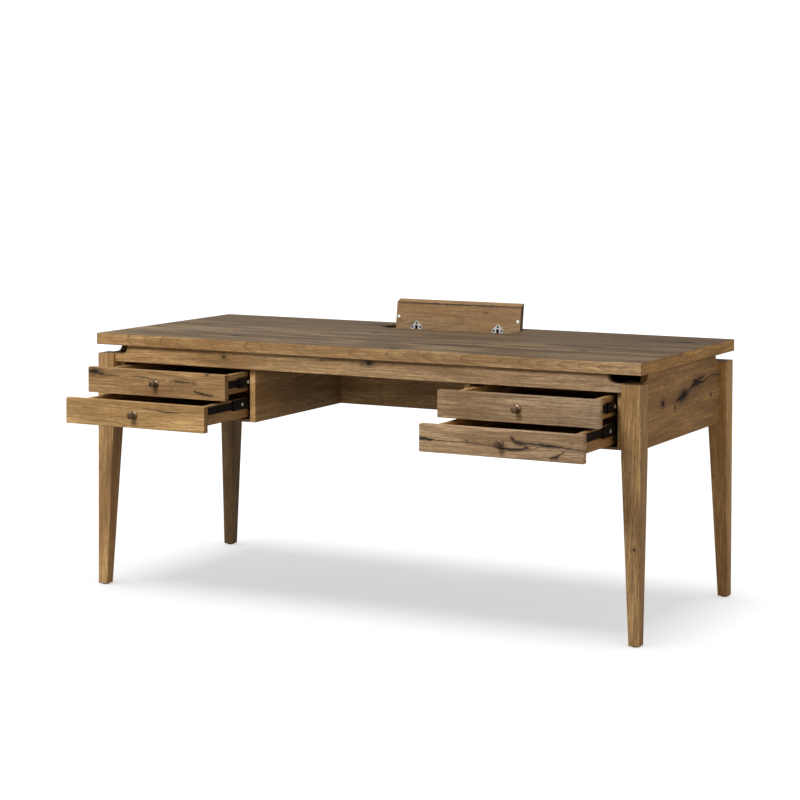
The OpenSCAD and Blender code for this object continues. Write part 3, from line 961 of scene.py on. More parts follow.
@dataclass(frozen=True)
class Studio:
    """White floor, white surround, soft lights and the camera, all in the desk's own frame."""

    eye: tuple[float, float, float] = (2.98868, -5.67998, 1.39434)
    yaw: float = 27.3838
    down: float = 2.2831
    roll: float = 0.1734
    lens: float = 99.038
    shift: tuple[float, float] = (-0.00676, -0.23591)
    floor_half: float = 60.0
    overhead: float = 1.5
    overhead_width: float = 36.0
    floor_width: float = 26.0
    tilt: tuple[float, float] = (4.0, -2.0)
    bounce: Colour = (0.42, 0.385, 0.34)
    seen_floor: Colour = (0.65, 0.65, 0.65)
    lift: tuple[float, float] = (0.53, 0.66)
    lift_reach: tuple[float, float] = (1.0, 3.2)
    surround: tuple[float, float] = (0.38, 1.0)
    lamps: tuple[Lamp, ...] = (
        Lamp("key", (-0.5, -3.7, 3.8), (0.0, 0.0, 0.55), (1.8, 1.5), 205.0),
        Lamp("fill", (3.5, -1.9, 1.3), (0.8, 0.0, 0.4), (1.5, 1.4), 30.0, (1.0, 0.78, 0.45)))

    def build(self) -> None:
        """Places the camera, the floor, the surround and the lights."""
        self._camera()
        spared, floor_only = self._floor()
        self._surround()
        self._sun("overhead", self.overhead_width, spared)
        self._sun("floor_wash", self.floor_width, floor_only)
        for lamp in self.lamps:
            self._hang(lamp, spared)
        bpy.context.scene.view_settings.view_transform = "Standard"

    def _camera(self) -> None:
        """Adds the camera from its yaw, pitch and roll."""
        a, e, r = (math.radians(v) for v in (self.yaw, self.down, self.roll))
        forward = np.array([-math.sin(a) * math.cos(e), math.cos(a) * math.cos(e), -math.sin(e)])
        right = np.array([math.cos(a), math.sin(a), 0.0])
        up = np.cross(right, forward)
        side = math.cos(r) * right + math.sin(r) * up
        top = -math.sin(r) * right + math.cos(r) * up
        data = bpy.data.cameras.new("camera")
        data.sensor_width = 36.0
        data.lens = self.lens
        data.shift_x, data.shift_y = self.shift
        data.clip_end = 200.0
        camera = bpy.data.objects.new("camera", data)
        camera.matrix_world = frame_of(side, top, -forward, self.eye)
        bpy.context.scene.collection.objects.link(camera)
        bpy.context.scene.camera = camera

    def _floor(self) -> tuple[Group, Group]:
        """Adds the floor, paler to look at than it is as a source of bounced light.

        Returns:
            A collection that keeps the floor out of a lamp's light, and one of the floor alone.
        """
        h = self.floor_half
        mesh = bpy.data.meshes.new("studio_floor")
        mesh.from_pydata([(-h, -h, 0), (h, -h, 0), (h, h, 0), (-h, h, 0)], [], [(0, 1, 2, 3)])
        b = Bench("studio_floor")
        seen = b.tree.nodes.new("ShaderNodeLightPath").outputs["Is Camera Ray"]
        b.finish(b.mix(seen, self.bounce, self.seen_floor), 0.9, Specular_IOR_Level=0.0,
                 Emission_Color=(1, 1, 1, 1))
        x, y, _ = b.split(b.place())
        far = b.math("SQRT", b.add(b.mul(x, x), b.mul(y, y)))
        b.feed(b.shader.inputs["Emission Strength"],
               b.mul(seen, b.spread(far, *self.lift_reach, *self.lift)))
        mesh.materials.append(b.material)
        floor = bpy.data.objects.new("studio_floor", mesh)
        bpy.context.scene.collection.objects.link(floor)
        spared, floor_only = (bpy.data.collections.new(n) for n in ("all_but_floor", "floor_alone"))
        spared.objects.link(floor)
        spared.collection_objects[0].light_linking.link_state = "EXCLUDE"
        floor_only.objects.link(floor)
        return spared, floor_only

    def _surround(self) -> None:
        """Sets a white surround that lights the desk only softly."""
        world = bpy.data.worlds.new("surround")
        world.use_nodes = True
        tree = world.node_tree
        tree.nodes.clear()
        out = tree.nodes.new("ShaderNodeOutputWorld")
        shade = tree.nodes.new("ShaderNodeBackground")
        path = tree.nodes.new("ShaderNodeLightPath")
        level = tree.nodes.new("ShaderNodeMapRange")
        level.inputs["To Min"].default_value, level.inputs["To Max"].default_value = self.surround
        tree.links.new(path.outputs["Is Camera Ray"], level.inputs["Value"])
        tree.links.new(level.outputs[0], shade.inputs["Strength"])
        shade.inputs["Color"].default_value = (1, 1, 1, 1)
        tree.links.new(shade.outputs[0], out.inputs[0])
        bpy.context.scene.world = world

    def _sun(self, name: str, width: float, lit: Group) -> None:
        """Adds wide, even light from above; over the floor it draws the soft shadow.

        Args:
            name: Its name.
            width: Its angle in degrees.
            lit: What it lights.
        """
        data = bpy.data.lights.new(name, "SUN")
        data.energy = self.overhead
        data.angle = math.radians(width)
        lamp = bpy.data.objects.new(name, data)
        lamp.light_linking.receiver_collection = lit
        back, right = (math.radians(v) for v in self.tilt)
        lamp.matrix_world = Matrix.Rotation(back, 4, "X") @ Matrix.Rotation(right, 4, "Y")
        bpy.context.scene.collection.objects.link(lamp)

    @staticmethod
    def soften_drawers() -> None:
        """Keeps the drawers out of the shadow on the floor, which the case alone draws."""
        drawn = bpy.data.collections.new("drawers_without_shadow")
        for piece in bpy.data.objects:
            if piece.name.startswith(tuple(bank.value for bank in Bank)):
                drawn.objects.link(piece)
        for member in drawn.collection_objects:
            member.light_linking.link_state = "EXCLUDE"
        bpy.data.objects["floor_wash"].light_linking.blocker_collection = drawn

    @staticmethod
    def _hang(lamp: Lamp, spared: Group) -> None:
        """Adds one lamp.

        Args:
            lamp: The lamp.
            spared: The collection that keeps the floor out of its light.
        """
        data = bpy.data.lights.new(lamp.name, "AREA")
        data.color = lamp.colour
        data.shape = "RECTANGLE"
        data.size, data.size_y = lamp.size
        data.energy = lamp.power
        thing = bpy.data.objects.new(lamp.name, data)
        thing.light_linking.receiver_collection = spared
        aim = np.array(lamp.at, float) - np.array(lamp.to, float)
        aim /= np.linalg.norm(aim)
        side = np.cross((0, 0, 1), aim)
        side /= np.linalg.norm(side)
        thing.matrix_world = frame_of(side, np.cross(aim, side), aim, lamp.at)
        bpy.context.scene.collection.objects.link(thing)


# ---- Sub-assemblies ------------------------------------------------------------------------------
def size_of(node: str) -> tuple[np.ndarray, np.ndarray]:
    """Returns a node's lowest and highest corner as arrays."""
    low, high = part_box(node)
    return np.array(low), np.array(high)


def eased_copy(node: str, width: float) -> Shell:
    """Returns a node's own skin, its loose triangles joined and flat ones merged.

    Args:
        node: The node.
        width: How far in from each sharp edge the easing starts.

    Returns:
        The closed skin.
    """
    work = bmesh.new()
    work.from_mesh(frame["nodes"][node].data)
    bmesh.ops.remove_doubles(work, verts=work.verts, dist=1e-6)
    bmesh.ops.dissolve_limit(work, angle_limit=math.radians(1), verts=work.verts, edges=work.edges)
    sharp = [e for e in work.edges if e.is_manifold and e.calc_face_angle(0) > math.radians(35)]
    bmesh.ops.bevel(work, geom=sharp, offset=width, segments=2, profile=0.5, affect="EDGES",
                    clamp_overlap=True)
    mesh = bpy.data.meshes.new("eased")
    work.to_mesh(mesh)
    work.free()
    points = np.empty(len(mesh.vertices) * 3)
    mesh.vertices.foreach_get("co", points)
    faces = [list(face.vertices) for face in mesh.polygons]
    bpy.data.meshes.remove(mesh)
    return Shell(points.reshape(-1, 3), faces, [0] * len(faces))


TOP_OAK = Oak("oak_top", pale=(0.36, 0.24, 0.13), mid=(0.125, 0.078, 0.038),
              late=(0.06, 0.034, 0.016), ring_gap=0.006, figure=0.6, sheen=0.5, gloss=0.22)


@dataclass
class Desktop:
    """The slab, with its cable opening and mitred edge bands."""

    ease: float = 1.6 * MM
    corner: float = 2.2 * MM
    steps: int = 4
    half_opening: float = 0.216
    opening_reach: tuple[float, float] = (0.060, 0.061)

    def skin(self) -> Shell:
        """Carries the slab's section round from the outer rectangle to the opening and back.

        Each ring is one level of the section; it has the same number of points on the outer
        outline and on the opening's, so the two flat faces are rings of quads between them.

        Returns:
            The closed skin, its end bands marked 1, its front band 2 and its back band 3.
        """
        low, high = size_of("desk_top")
        hole_low, hole_high = self._opening()
        outer = filleted(rectangle(low[0], high[0], low[1], high[1]), self.corner, self.steps)
        inner = filleted(rectangle(-self.half_opening, self.half_opening, hole_low, hole_high),
                         self.corner, self.steps)
        t = np.linspace(0, math.pi / 2, 4)
        rise, run_in = self.ease * (1 - np.cos(t)), self.ease * (1 - np.sin(t))
        levels = np.concatenate([low[2] + rise, high[2] - rise[::-1]])
        shrink = np.concatenate([run_in, run_in[::-1]])
        rings = [np.column_stack([inset(outer, s), np.full(len(outer), z)])
                 for s, z in zip(shrink, levels)]
        rings += [np.column_stack([inset(inner, -s), np.full(len(inner), z)])
                  for s, z in zip(shrink[::-1], levels[::-1])]
        shell = loft(np.array(rings), capped=False, looped=True)
        middle = np.array([shell.points[f].mean(0) for f in shell.faces])
        reach = np.abs(middle - (low + high) / 2) - (high - low) / 2
        long_band = np.where(middle[:, 1] < (low[1] + high[1]) / 2, 2, 3)
        on_end, on_long = reach[:, 0] > -0.5 * MM, reach[:, 1] > -0.5 * MM
        bands = np.where(on_end, 1, np.where(on_long, long_band, 0))
        shell.marks = bands.tolist()
        return shell

    def _opening(self) -> tuple[float, float]:
        """Finds where the opening starts and ends in depth, from the ledges beside it.

        Returns:
            Its front and its back edge.
        """
        rest_low, rest_high = size_of("flap_rests")
        middle = (rest_low[1] + rest_high[1]) / 2
        return middle - self.opening_reach[0], middle + self.opening_reach[1]

    def build(self) -> None:
        """Makes the slab, with planks on its faces and bands of long grain on its four edges."""
        low, high = size_of("desk_top")
        band = Oak("oak_band", figure=0.9)
        # The faces run from lighter and greyer at the left end to darker and yellower at the right:
        # painted reflection and shade, the surround's sheen fading along the top.
        face = TOP_OAK.cut("faces", low, high, Grain.X_FACING_Z, Sawn(
            seed=3, heart=(0.0, 0.16), slope=0.02, plank=0.118, seam=-0.190,
            shade=(1.10, 1.15, 1.17), shade_end=(0.73, 0.68, 0.57),
            knots=(Knot(-462, -246, 9), Knot(-143, 40, 9), Knot(119, -344, 9), Knot(612, -151, 7),
                   Knot(783, 211, 11), Knot(-225, 262, 16, 2.2)),
            cracks=(Crack(((90, -194), (282, -188), (520, -189), (876, -190)),
                          (0.4, 1.6, 0.7, 1.8), 7),
                    Crack(((440, -36), (520, -27), (640, -30)), (0.2, 1.8, 0.2), 8),
                    Crack(((650, 200), (730, 203), (820, 214)), (0.2, 1.5, 0.3), 8))))
        # The end bands are warmed and lightened: painted warm light from the right.
        side = band.cut("end_bands", low, high, Grain.Y_FACING_X, Sawn(
            seed=8, heart=(0.03, 0.6), slope=0.01, shade=(1.22, 1.12, 0.8)))
        mitre = (high[0] - low[0]) / 2 - 0.001
        # The front band runs from warm at the left to cool at the right: painted light, warm from
        # the left and cool from the right.
        front = band.cut("front_band", low, high, Grain.X_FACING_Y, Sawn(
            seed=5, heart=(0.002, 0.306), slope=0.06, sway=0.25, shade=(1.12, 1.10, 1.0),
            shade_end=(0.98, 1.06, 1.25), mitre=mitre))
        back = band.cut("back_band", low, high, Grain.X_FACING_Y, Sawn(
            seed=6, heart=(0.03, -0.32), slope=0.01, mitre=mitre))
        Piece("desk_slab", "desk", "oak_top", ("desk_top",)).made(
            [self.skin()], [face, side, front, back])


@dataclass
class Legs:
    """Four square legs whose two inner faces taper to the foot, each on a screw-in glide."""

    top_side: float = 0.056
    foot_side: float = 0.031
    taper_from: float = 0.505
    ease: float = 1.6 * MM
    glide_radius: float = 0.011
    # Whole-leg colour levels: painted shade on the rear left leg, which stands in the case's
    # shadow, and a little on the front right leg; painted light on the front left and rear right
    # legs.
    painted_light_levels: dict[str, float] = field(default_factory=lambda: {
        "front_left_leg": 1.33, "front_right_leg": 0.92, "rear_left_leg": 0.60,
        "rear_right_leg": 1.38})

    def skin(self, node: str) -> Shell:
        """Stacks rounded squares up the leg; their inner sides grow from the foot to the taper.

        Args:
            node: The leg's node.

        Returns:
            The closed skin.
        """
        low, high = size_of(node)
        signs = np.where(low + high > 0, 1.0, -1.0)
        middle_y = sum(size_of("desk_top"))[1] / 2
        signs[1] = 1.0 if (low[1] + high[1]) / 2 > middle_y else -1.0
        outer = np.where(signs > 0, high, low)[:2]
        t = np.linspace(0, math.pi / 2, 4)
        rise, back = self.ease * (1 - np.cos(t)), self.ease * (1 - np.sin(t))
        z = np.concatenate([low[2] + rise, [self.taper_from], high[2] - rise[::-1]])
        ins = np.concatenate([back, [0], back[::-1]])
        side = np.interp(z, [low[2], self.taper_from], [self.foot_side, self.top_side])
        base = filleted(rectangle(0, 1, 0, 1), 0.045, 5)
        corners = np.array([np.column_stack([inset(base * s, i), np.full(len(base), h)])
                            for s, i, h in zip(side, ins, z)])
        corners[..., 0] = outer[0] - signs[0] * corners[..., 0]
        corners[..., 1] = outer[1] - signs[1] * corners[..., 1]
        return loft(corners)

    def build(self) -> None:
        """Makes the legs and glides."""
        oak = Oak("oak_legs", ring_gap=0.0042, figure=0.55)
        for seed, node in enumerate(("front_left_leg", "front_right_leg", "rear_left_leg",
                                     "rear_right_leg"), 21):
            low, high = size_of(node)
            # The leg's painted light or shade level goes in as its shade.
            tone = self.painted_light_levels[node]
            wood = oak.cut(node, low, high, Grain.Z_FACING_Y, Sawn(
                seed=seed, heart=(0.055, 0.085), slope=0.012, drift=0.01, shade=(tone,) * 3,
                knots=(Knot(-90, 12, 3.2),) if node == "front_right_leg" else ()))
            Piece(f"{node}_post", "desk", "oak_legs", (node,)).made([self.skin(node)], [wood])
        low, high = size_of("foot_glides")
        profile = np.array([[8.5, 0], [10.2, 0.25], [11, 1.0], [11, 2.4], [9.5, 3.0]]) * MM
        centres = [(x, y, 0.0) for x in (low[0] + self.glide_radius, high[0] - self.glide_radius)
                   for y in (low[1] + self.glide_radius, high[1] - self.glide_radius)]
        Piece("leg_glides", "desk", "glide_plastic", ("foot_glides",)).made(
            [turned(profile, c, Run.Z) for c in centres],
            [Moulded("glide", (0.05, 0.04, 0.032)).mix()])


@dataclass
class Panels:
    """Apron, back panel and side panels, each stepped down beside the legs."""

    step: float = 0.026
    low_length: float = 0.044
    cove: float = 0.022
    ease: float = 1.3 * MM

    def outline(self, start: float, end: float, low: float, high: float) -> np.ndarray:
        """Draws a panel with a round-cornered notch at both upper ends.

        Args:
            start: Where it starts.
            end: Where it ends.
            low: Its lower edge.
            high: Its upper edge.

        Returns:
            Its corners, anticlockwise.
        """
        shelf = high - self.step
        flat = self.low_length - self.cove
        right = arc(end - flat, shelf + self.cove, self.cove, 270, 180, 9)
        left = arc(start + flat, shelf + self.cove, self.cove, 0, -90, 9)
        return np.concatenate([[[start, low], [end, low], [end, shelf]], right,
                               [[end - self.low_length, high], [start + self.low_length, high]],
                               left, [[start, shelf]]])

    def panel(self, node: str, run: Run) -> Shell:
        """Returns one panel's skin.

        Args:
            node: The panel's node.
            run: The axis of its thickness.

        Returns:
            The closed skin.
        """
        low, high = size_of(node)
        u, v, w = run.value
        return plate(self.outline(low[u], high[u], low[v], high[v]), low[w], high[w], run,
                     self.ease, corner=1.5 * MM)

    def build(self) -> None:
        """Makes the four panels."""
        # The apron runs from warm at the left to cool at the right: painted light, warm from the
        # left and cool from the right.
        apron = Sawn(seed=31, heart=(0.03, 0.10), slope=0.022, drift=0.006, shade=(1.1, 1.08, 1.0),
                     shade_end=(0.86, 0.97, 1.3), knots=(
            Knot(-433, 7, 4.5), Knot(-433, 22, 2.2, 1.2, 0.5), Knot(50, 14, 7.5, 1.9),
            Knot(27, 11, 3.2, 2.0, 0.7), Knot(-104, 14, 3.0, 2.4, 0.5)))
        # The right side panel is yellowed: painted warm light from the right.
        right = Sawn(seed=37, heart=(0.02, 0.07), slope=0.10, drift=0.16, shade=(0.95, 0.88, 0.68),
                     knots=(
            Knot(-160, 5, 10, 1.4), Knot(-64, -17, 7, 0.9), Knot(231, -13, 6, 1.0, 0.9),
            Knot(100, 37, 14, 2.0, 0.9), Knot(10, 12, 14, 1.9, 0.85)), cracks=(
            Crack(((-66, 1), (-38, 4), (-2, 12), (44, 23), (98, 34), (160, 33), (237, 44),
                   (308, 39)), (0.2, 2.2, 4.2, 1.4, 3.8, 1.6, 0.8, 0.9), 16),
            Crack(((-30, -6), (10, 6), (60, 20), (120, 42), (180, 48)),
                  (0.2, 1.8, 0.8, 1.6, 0.2), 9)))
        left = Sawn(seed=38, heart=(-0.02, 0.09), slope=-0.05, drift=0.05, knots=(
            Knot(120, 20, 8, 1.6), Knot(-190, -40, 5)))
        back = Sawn(seed=39, heart=(0.02, 0.10), slope=0.03, plank=0.11, seam=0.02, knots=(
            Knot(-520, 30, 8), Knot(210, -60, 9), Knot(610, 20, 6)))
        for node, name, grain, run, sawn in (
                ("front_apron", "apron_board", Grain.X_FACING_Y, Run.Y, apron),
                ("back_panel", "back_board", Grain.X_FACING_Y, Run.Y, back),
                ("left_side_panel", "left_side_board", Grain.Y_FACING_X, Run.X, left),
                ("right_side_panel", "right_side_board", Grain.Y_FACING_X, Run.X, right)):
            low, high = size_of(node)
            wood = Oak("oak_case").cut(name, low, high, grain, sawn)
            Piece(name, "desk", "oak_case", (node,)).made([self.panel(node, run)], [wood])


@dataclass
class Carcass:
    """The case behind the apron: sides, bottoms, inner back, battens and cable compartment."""

    ease: float = 0.9 * MM

    def build(self) -> None:
        """Makes every board of the case."""
        shown, lining = Oak("oak_case"), Oak("oak_lining", figure=0.4)
        # The last number darkens or lightens each board as a whole: painted shade on the case sides
        # (0.5), darker case bottoms (0.8), painted light on the inner back panel (1.35).
        plan = (("left_case_side", Grain.Y_FACING_X, Run.X, lining, "case_lining", 41, 0.5),
                ("right_case_side", Grain.Y_FACING_X, Run.X, lining, "case_lining", 42, 0.5),
                ("left_kneehole_side", Grain.Y_FACING_X, Run.X, shown, "oak_case", 43, 1.0),
                ("right_kneehole_side", Grain.Y_FACING_X, Run.X, shown, "oak_case", 44, 1.0),
                ("inner_back_panel", Grain.X_FACING_Y, Run.Y, shown, "oak_case", 45, 1.35),
                ("left_case_bottom", Grain.X_FACING_Z, Run.Z, lining, "case_lining", 46, 0.8),
                ("right_case_bottom", Grain.X_FACING_Z, Run.Z, lining, "case_lining", 47, 0.8))
        for node, grain, run, oak, slot, seed, tone in plan:
            low, high = size_of(node)
            # ends=1.7 / tone lightens every front edge, as where the lamps catch the kneehole
            # sides' front edges: painted light.
            wood = oak.cut(node, low, high, grain, Sawn(
                seed=seed, heart=(0.02, 0.12), slope=0.03, shade=(tone,) * 3, ends=1.7 / tone))
            Piece(f"{node}_board", "desk", slot, (node,)).made(
                [board(low, high, run, self.ease)], [wood])
        for seed, (node, grain) in enumerate((("compartment_floor", Grain.X_FACING_Z),
                                              ("side_spacers", Grain.Y_FACING_X),
                                              ("top_cleats", Grain.X_FACING_Y),
                                              ("flap_rests", Grain.Y_FACING_X)), 51):
            low, high = size_of(node)
            wood = lining.cut(node, low, high, grain, Sawn(seed=seed, heart=(0.02, 0.12)))
            Piece(f"{node}_wood", "desk", "case_lining", (node,)).made(
                [eased_copy(node, 0.6 * MM)], [wood])
        dress(("top_screws", "bracket_screws"),
              Metal("screw_steel", (0.30, 0.29, 0.27), 0.42).mix())


# ---- Drawers and slides --------------------------------------------------------------------------
# Colour, roughness, patina and metallic share of the painted slides.
BLACK_STEEL = ((0.004, 0.0038, 0.0038), 0.45, 0.4, 0.0)


def channel(wall: float, facing: float, depth: float, height: float, middle: float,
            start: float, end: float, lip: float, steel: float = 1.2 * MM) -> Shell:
    """Rolls a steel channel: web, two flanges, and lips turned back towards each other.

    Args:
        wall: Where the outside of its web lies across the desk.
        facing: 1 when it opens towards +X, -1 towards -X.
        depth: How far its flanges reach.
        height: Its height.
        middle: Height of its centre line.
        start: Its front end.
        end: Its rear end.
        lip: Height of each lip.
        steel: Thickness of the sheet.

    Returns:
        The closed skin.
    """
    t, h = steel, height / 2
    shape = np.array([[0, -h], [depth, -h], [depth, lip - h], [depth - t, lip - h],
                      [depth - t, t - h], [t, t - h], [t, h - t], [depth - t, h - t],
                      [depth - t, h - lip], [depth, h - lip], [depth, h], [0, h]])
    if facing < 0:
        shape = (shape * [-1, 1])[::-1]
    return plate(shape + [wall, middle], start, end, Run.Y, 0.25 * MM, 0.5 * MM, 3)


def rivet(wall: float, facing: float, y: float, z: float, radius: float, high: float,
          mark: int = 0) -> Shell:
    """Returns a domed rivet head on a rail's web.

    Args:
        wall: The web's surface.
        facing: Direction the dome looks along X.
        y: Its place along the rail.
        z: Its height.
        radius: Its radius in millimetres.
        high: Its height in millimetres.
        mark: Its finish number.

    Returns:
        The closed skin.
    """
    t = np.radians(np.linspace(0, 84, 6))
    dome = turned(np.stack([radius * np.cos(t), high * np.sin(t)], 1) * MM, (wall, y, z), Run.X,
                  facing, 20)
    dome.marks = [mark] * len(dome.faces)
    return dome


class Bank(Enum):
    """The four drawers."""

    UPPER_LEFT = "upper_left"
    LOWER_LEFT = "lower_left"
    UPPER_RIGHT = "upper_right"
    LOWER_RIGHT = "lower_right"


FRONTS = {
    Bank.UPPER_LEFT: Sawn(
        seed=61, heart=(0.012, 0.075), slope=0.02, drift=0.02,
        knots=(Knot(-212, 25, 7, 2.4), Knot(-188, 18, 3.5, 2.2, 0.8), Knot(176, 36, 5, 1.2, 0.75),
               Knot(54, 7, 2.2, 1.6, 0.7), Knot(56, -11, 2.4, 1.4, 0.5),
               Knot(91, -12, 3.0, 2.2, 0.3)),
        cracks=(Crack(((-237, 25), (-210, 23), (-189, 17), (-149, 16), (-103, 16), (-50, 17),
                       (-5, 12), (48, 13), (78, 10), (113, 9), (144, 7), (200, 5)),
                      (1.8, 1.5, 0.9, 0.7, 0.25, 0.8, 0.7, 0.35, 1.2, 0.8, 0.35, 0.1), 3.5),
                Crack(((130, -13), (161, -21), (200, -25)), (0.2, 1.1, 0.1), 3.0))),
    Bank.LOWER_LEFT: Sawn(
        seed=62, heart=(-0.03, 0.10), slope=0.012, shade=(1.30, 1.33, 1.26),
        cracks=(Crack(((-20, 21), (13, 21), (52, 20), (78, 18), (104, 15), (139, 16), (224, 21)),
                      (0.05, 0.25, 0.35, 0.4, 0.7, 0.5, 0.1), 2.5),)),
    # The upper right front is cooled and darkened towards its right end: painted light, cooler
    # light on the right.
    Bank.UPPER_RIGHT: Sawn(seed=63, heart=(0.05, 0.14), slope=0.008, shade=(0.84, 0.93, 1.17),
                           shade_end=(0.74, 0.85, 1.2), ends=1.5),
    # The lower right front is cooled the same way: painted light, cooler light on the right.
    Bank.LOWER_RIGHT: Sawn(
        seed=64, heart=(0.0, 0.06), slope=0.04, drift=0.01, ends=1.3, shade=(0.97, 1.06, 1.32),
        shade_end=(0.91, 1.02, 1.4),
        knots=(Knot(76, -6, 4, 1.8), Knot(38, 14, 4.5, 0.9, 0.9), Knot(160, -27, 4.5, 1.2, 0.85),
               Knot(205, 14, 4, 1.5, 0.35), Knot(-97, 1, 3, 2.6, 0.5)),
        cracks=(Crack(((-238, -1), (-207, -3), (-163, -5), (-97, -4), (-64, -6), (-23, -8),
                       (9, -12), (50, -13), (80, -4)),
                      (2.2, 1.8, 0.5, 0.6, 0.5, 0.8, 1.6, 1.5, 0.4), 3.0),
                Crack(((28, 22), (36, 14), (46, 6), (66, 4), (94, 5), (130, 3), (169, 2),
                       (205, -2), (238, -4)),
                      (0.4, 1.4, 1.7, 1.5, 1.0, 1.8, 1.3, 0.9, 0.8), 5.0),
                Crack(((140, -30), (158, -25), (172, -17), (188, -6), (206, 3)),
                      (0.0, 1.2, 0.7, 0.5, 0.0), 4.0))),
}


@dataclass
class Drawer:
    """One drawer: overlay front, grooved box, turned knob, and its two slides."""

    bank: Bank
    side: float = 0.015
    groove: tuple[float, float, float] = (0.007, 0.008, 0.014)
    middle_depth: float = 8.2 * MM
    inner_depth: float = 7.2 * MM
    lever: tuple[float, float] = (0.044, 0.052)
    middle_rivets: tuple[float, ...] = (0.020, 0.080, 0.180, 0.290, 0.390)
    inner_rivets: tuple[float, ...] = (0.018, 0.050, 0.114, 0.178, 0.274, 0.370, 0.430)

    def node(self, part: str) -> str:
        """Returns the name of one of this drawer's nodes."""
        return f"{self.bank.value}_{part}"

    def build(self) -> None:
        """Makes the drawer and its slides."""
        self._front()
        self._box()
        self._knob()
        self._rails()

    def _put(self, part: str, name: str, slot: str, shells: Iterable[Shell],
             finishes: Sequence[Material], carrier: str = "drawer") -> None:
        """Adds one piece that stands for one of the drawer's nodes.

        Args:
            part: Node's ending.
            name: Piece's ending.
            slot: Material slot.
            shells: Its skins.
            finishes: Its materials.
            carrier: Ending of the body that carries it.
        """
        Piece(self.node(name), self.node(carrier), slot, (self.node(part),)).made(shells, finishes)

    def _front(self) -> None:
        """Makes the overlay front."""
        low, high = size_of(self.node("front"))
        wood = Oak("oak_front").cut(self.node("front"), low, high, Grain.X_FACING_Y,
                                    FRONTS[self.bank])
        self._put("front", "front_board", "oak_fronts", [board(low, high, Run.Y, 1.3 * MM)],
                  [wood])

    def _box(self) -> None:
        """Makes the sides with their grooves, the back and the bottom."""
        low, high = size_of(self.node("sides"))
        deep, groove_low, groove_high = self.groove
        seed = 70 + len(self.bank.value) + list(Bank).index(self.bank)
        oak = Oak("drawer_oak", pale=(0.47, 0.29, 0.135), mid=(0.36, 0.21, 0.09), figure=0.35)
        wood = oak.cut(self.node("sides"), low, high, Grain.Y_FACING_X, Sawn(
            seed=seed, heart=(0.03, 0.35), slope=0.0))
        tall = high[2] - low[2]
        half = np.array([[0, 0], [self.side, 0], [self.side, tall], [0, tall], [0, groove_high],
                         [deep, groove_high], [deep, groove_low], [0, groove_low]])
        right = half + [high[0] - self.side, low[2]]
        left = (half * [-1, 1] + [low[0] + self.side, low[2]])[::-1]
        self._put("sides", "side_boards", "drawer_box",
                  [plate(s, low[1], high[1], Run.Y, 0.8 * MM, 0.9 * MM) for s in (left, right)],
                  [wood])
        for part, run, grain in (("back", Run.Y, Grain.X_FACING_Y),
                                 ("bottom", Run.Z, Grain.X_FACING_Z)):
            low, high = size_of(self.node(part))
            wood = oak.cut(self.node(part), low, high, grain,
                           Sawn(seed=seed + 9, heart=(0.02, 0.2)))
            self._put(part, f"{part}_board", "drawer_box", [board(low, high, run, 0.7 * MM)],
                      [wood])

    def _knob(self) -> None:
        """Turns the knob: a foot flange, a hollowed waist and a head with a crowned face."""
        low, high = size_of(self.node("front"))
        knob_low = size_of(self.node("knob"))[0]
        centre = ((low[0] + high[0]) / 2, low[1], (low[2] + high[2]) / 2)
        out = (low[1] - knob_low[1]) / MM
        ring = arc(11.1, 1.6, 0.9, -50, 60, 6)
        waist = arc(12.0, 9.0, 6.0, 232, 128, 12)
        head = arc(7.4, out - 8.9, 1.1, -60, 0, 5)
        rim = arc(6.9, out - 2.0, 1.6, 0, 80, 7)
        face = np.array([[6.1, out - 0.35], [5.6, out - 0.5], [4.8, out - 0.25], [2.6, out - 0.05],
                         [0.8, out]])
        profile = np.concatenate([[[10.6, 0.0], [11.4, 0.4]], ring, waist, head, rim, face])
        bolt = [turned(np.array([[3.4, 22.0], [4, 21.6], [4, 20.2], [3.6, 20.0], [2.0, 20.0],
                                 [2.0, -1.0]])[::-1] * MM, centre, Run.Y, 1.0, 24)]
        self._put("knob", "knob_turning", "knob_brass",
                  [turned(profile * MM, centre, Run.Y, -1.0, 48)] + bolt,
                  [Metal("aged_bronze", (0.19, 0.125, 0.08), 0.48, 0.5, 0.8).mix()])

    def _rails(self) -> None:
        """Makes both middle rails and both drawer rails, with rivets and release levers."""
        black = Metal("black_slide_steel", *BLACK_STEEL, gloss=0.1).mix()
        silver = Metal("lever_zinc", (0.80, 0.80, 0.78), 0.35, 0.1, 0.6).mix()
        grey = Metal("rivet_steel", (0.16, 0.155, 0.15), 0.4, 0.3).mix()
        mid_low, mid_high = size_of(self.node("middle_rails"))
        run_low, run_high = size_of(self.node("drawer_rails"))
        z = (mid_low[2] + mid_high[2]) / 2
        middle, drawn = [], []
        for wall, facing in ((mid_low[0], 1.0), (mid_high[0], -1.0)):
            middle.append(channel(wall, facing, self.middle_depth, mid_high[2] - mid_low[2], z,
                                  mid_low[1], mid_high[1], 2.6 * MM))
            out = wall - facing * 0.9 * MM
            lever = board((min(wall, out), mid_low[1] + self.lever[0], z - 0.0045),
                          (max(wall, out), mid_low[1] + self.lever[1], z + 0.0045), Run.X,
                          0.3 * MM)
            lever.marks = [1] * len(lever.faces)
            middle.append(lever)
            middle += [rivet(wall, -facing, mid_low[1] + y, z, 2.6, 0.8)
                       for y in self.middle_rivets]
        for wall, facing in ((run_high[0], -1.0), (run_low[0], 1.0)):
            drawn.append(channel(wall, facing, self.inner_depth, run_high[2] - run_low[2], z,
                                 run_low[1], run_high[1], 1.9 * MM))
            drawn += [rivet(wall + facing * 1.2 * MM, facing, run_low[1] + y, z, 3.0, 0.7, 1)
                      for y in self.inner_rivets]
        self._put("middle_rails", "middle_slides", "slide_steel", middle, [black, silver], "slides")
        self._put("drawer_rails", "drawer_slides", "slide_steel", drawn, [black, grey])


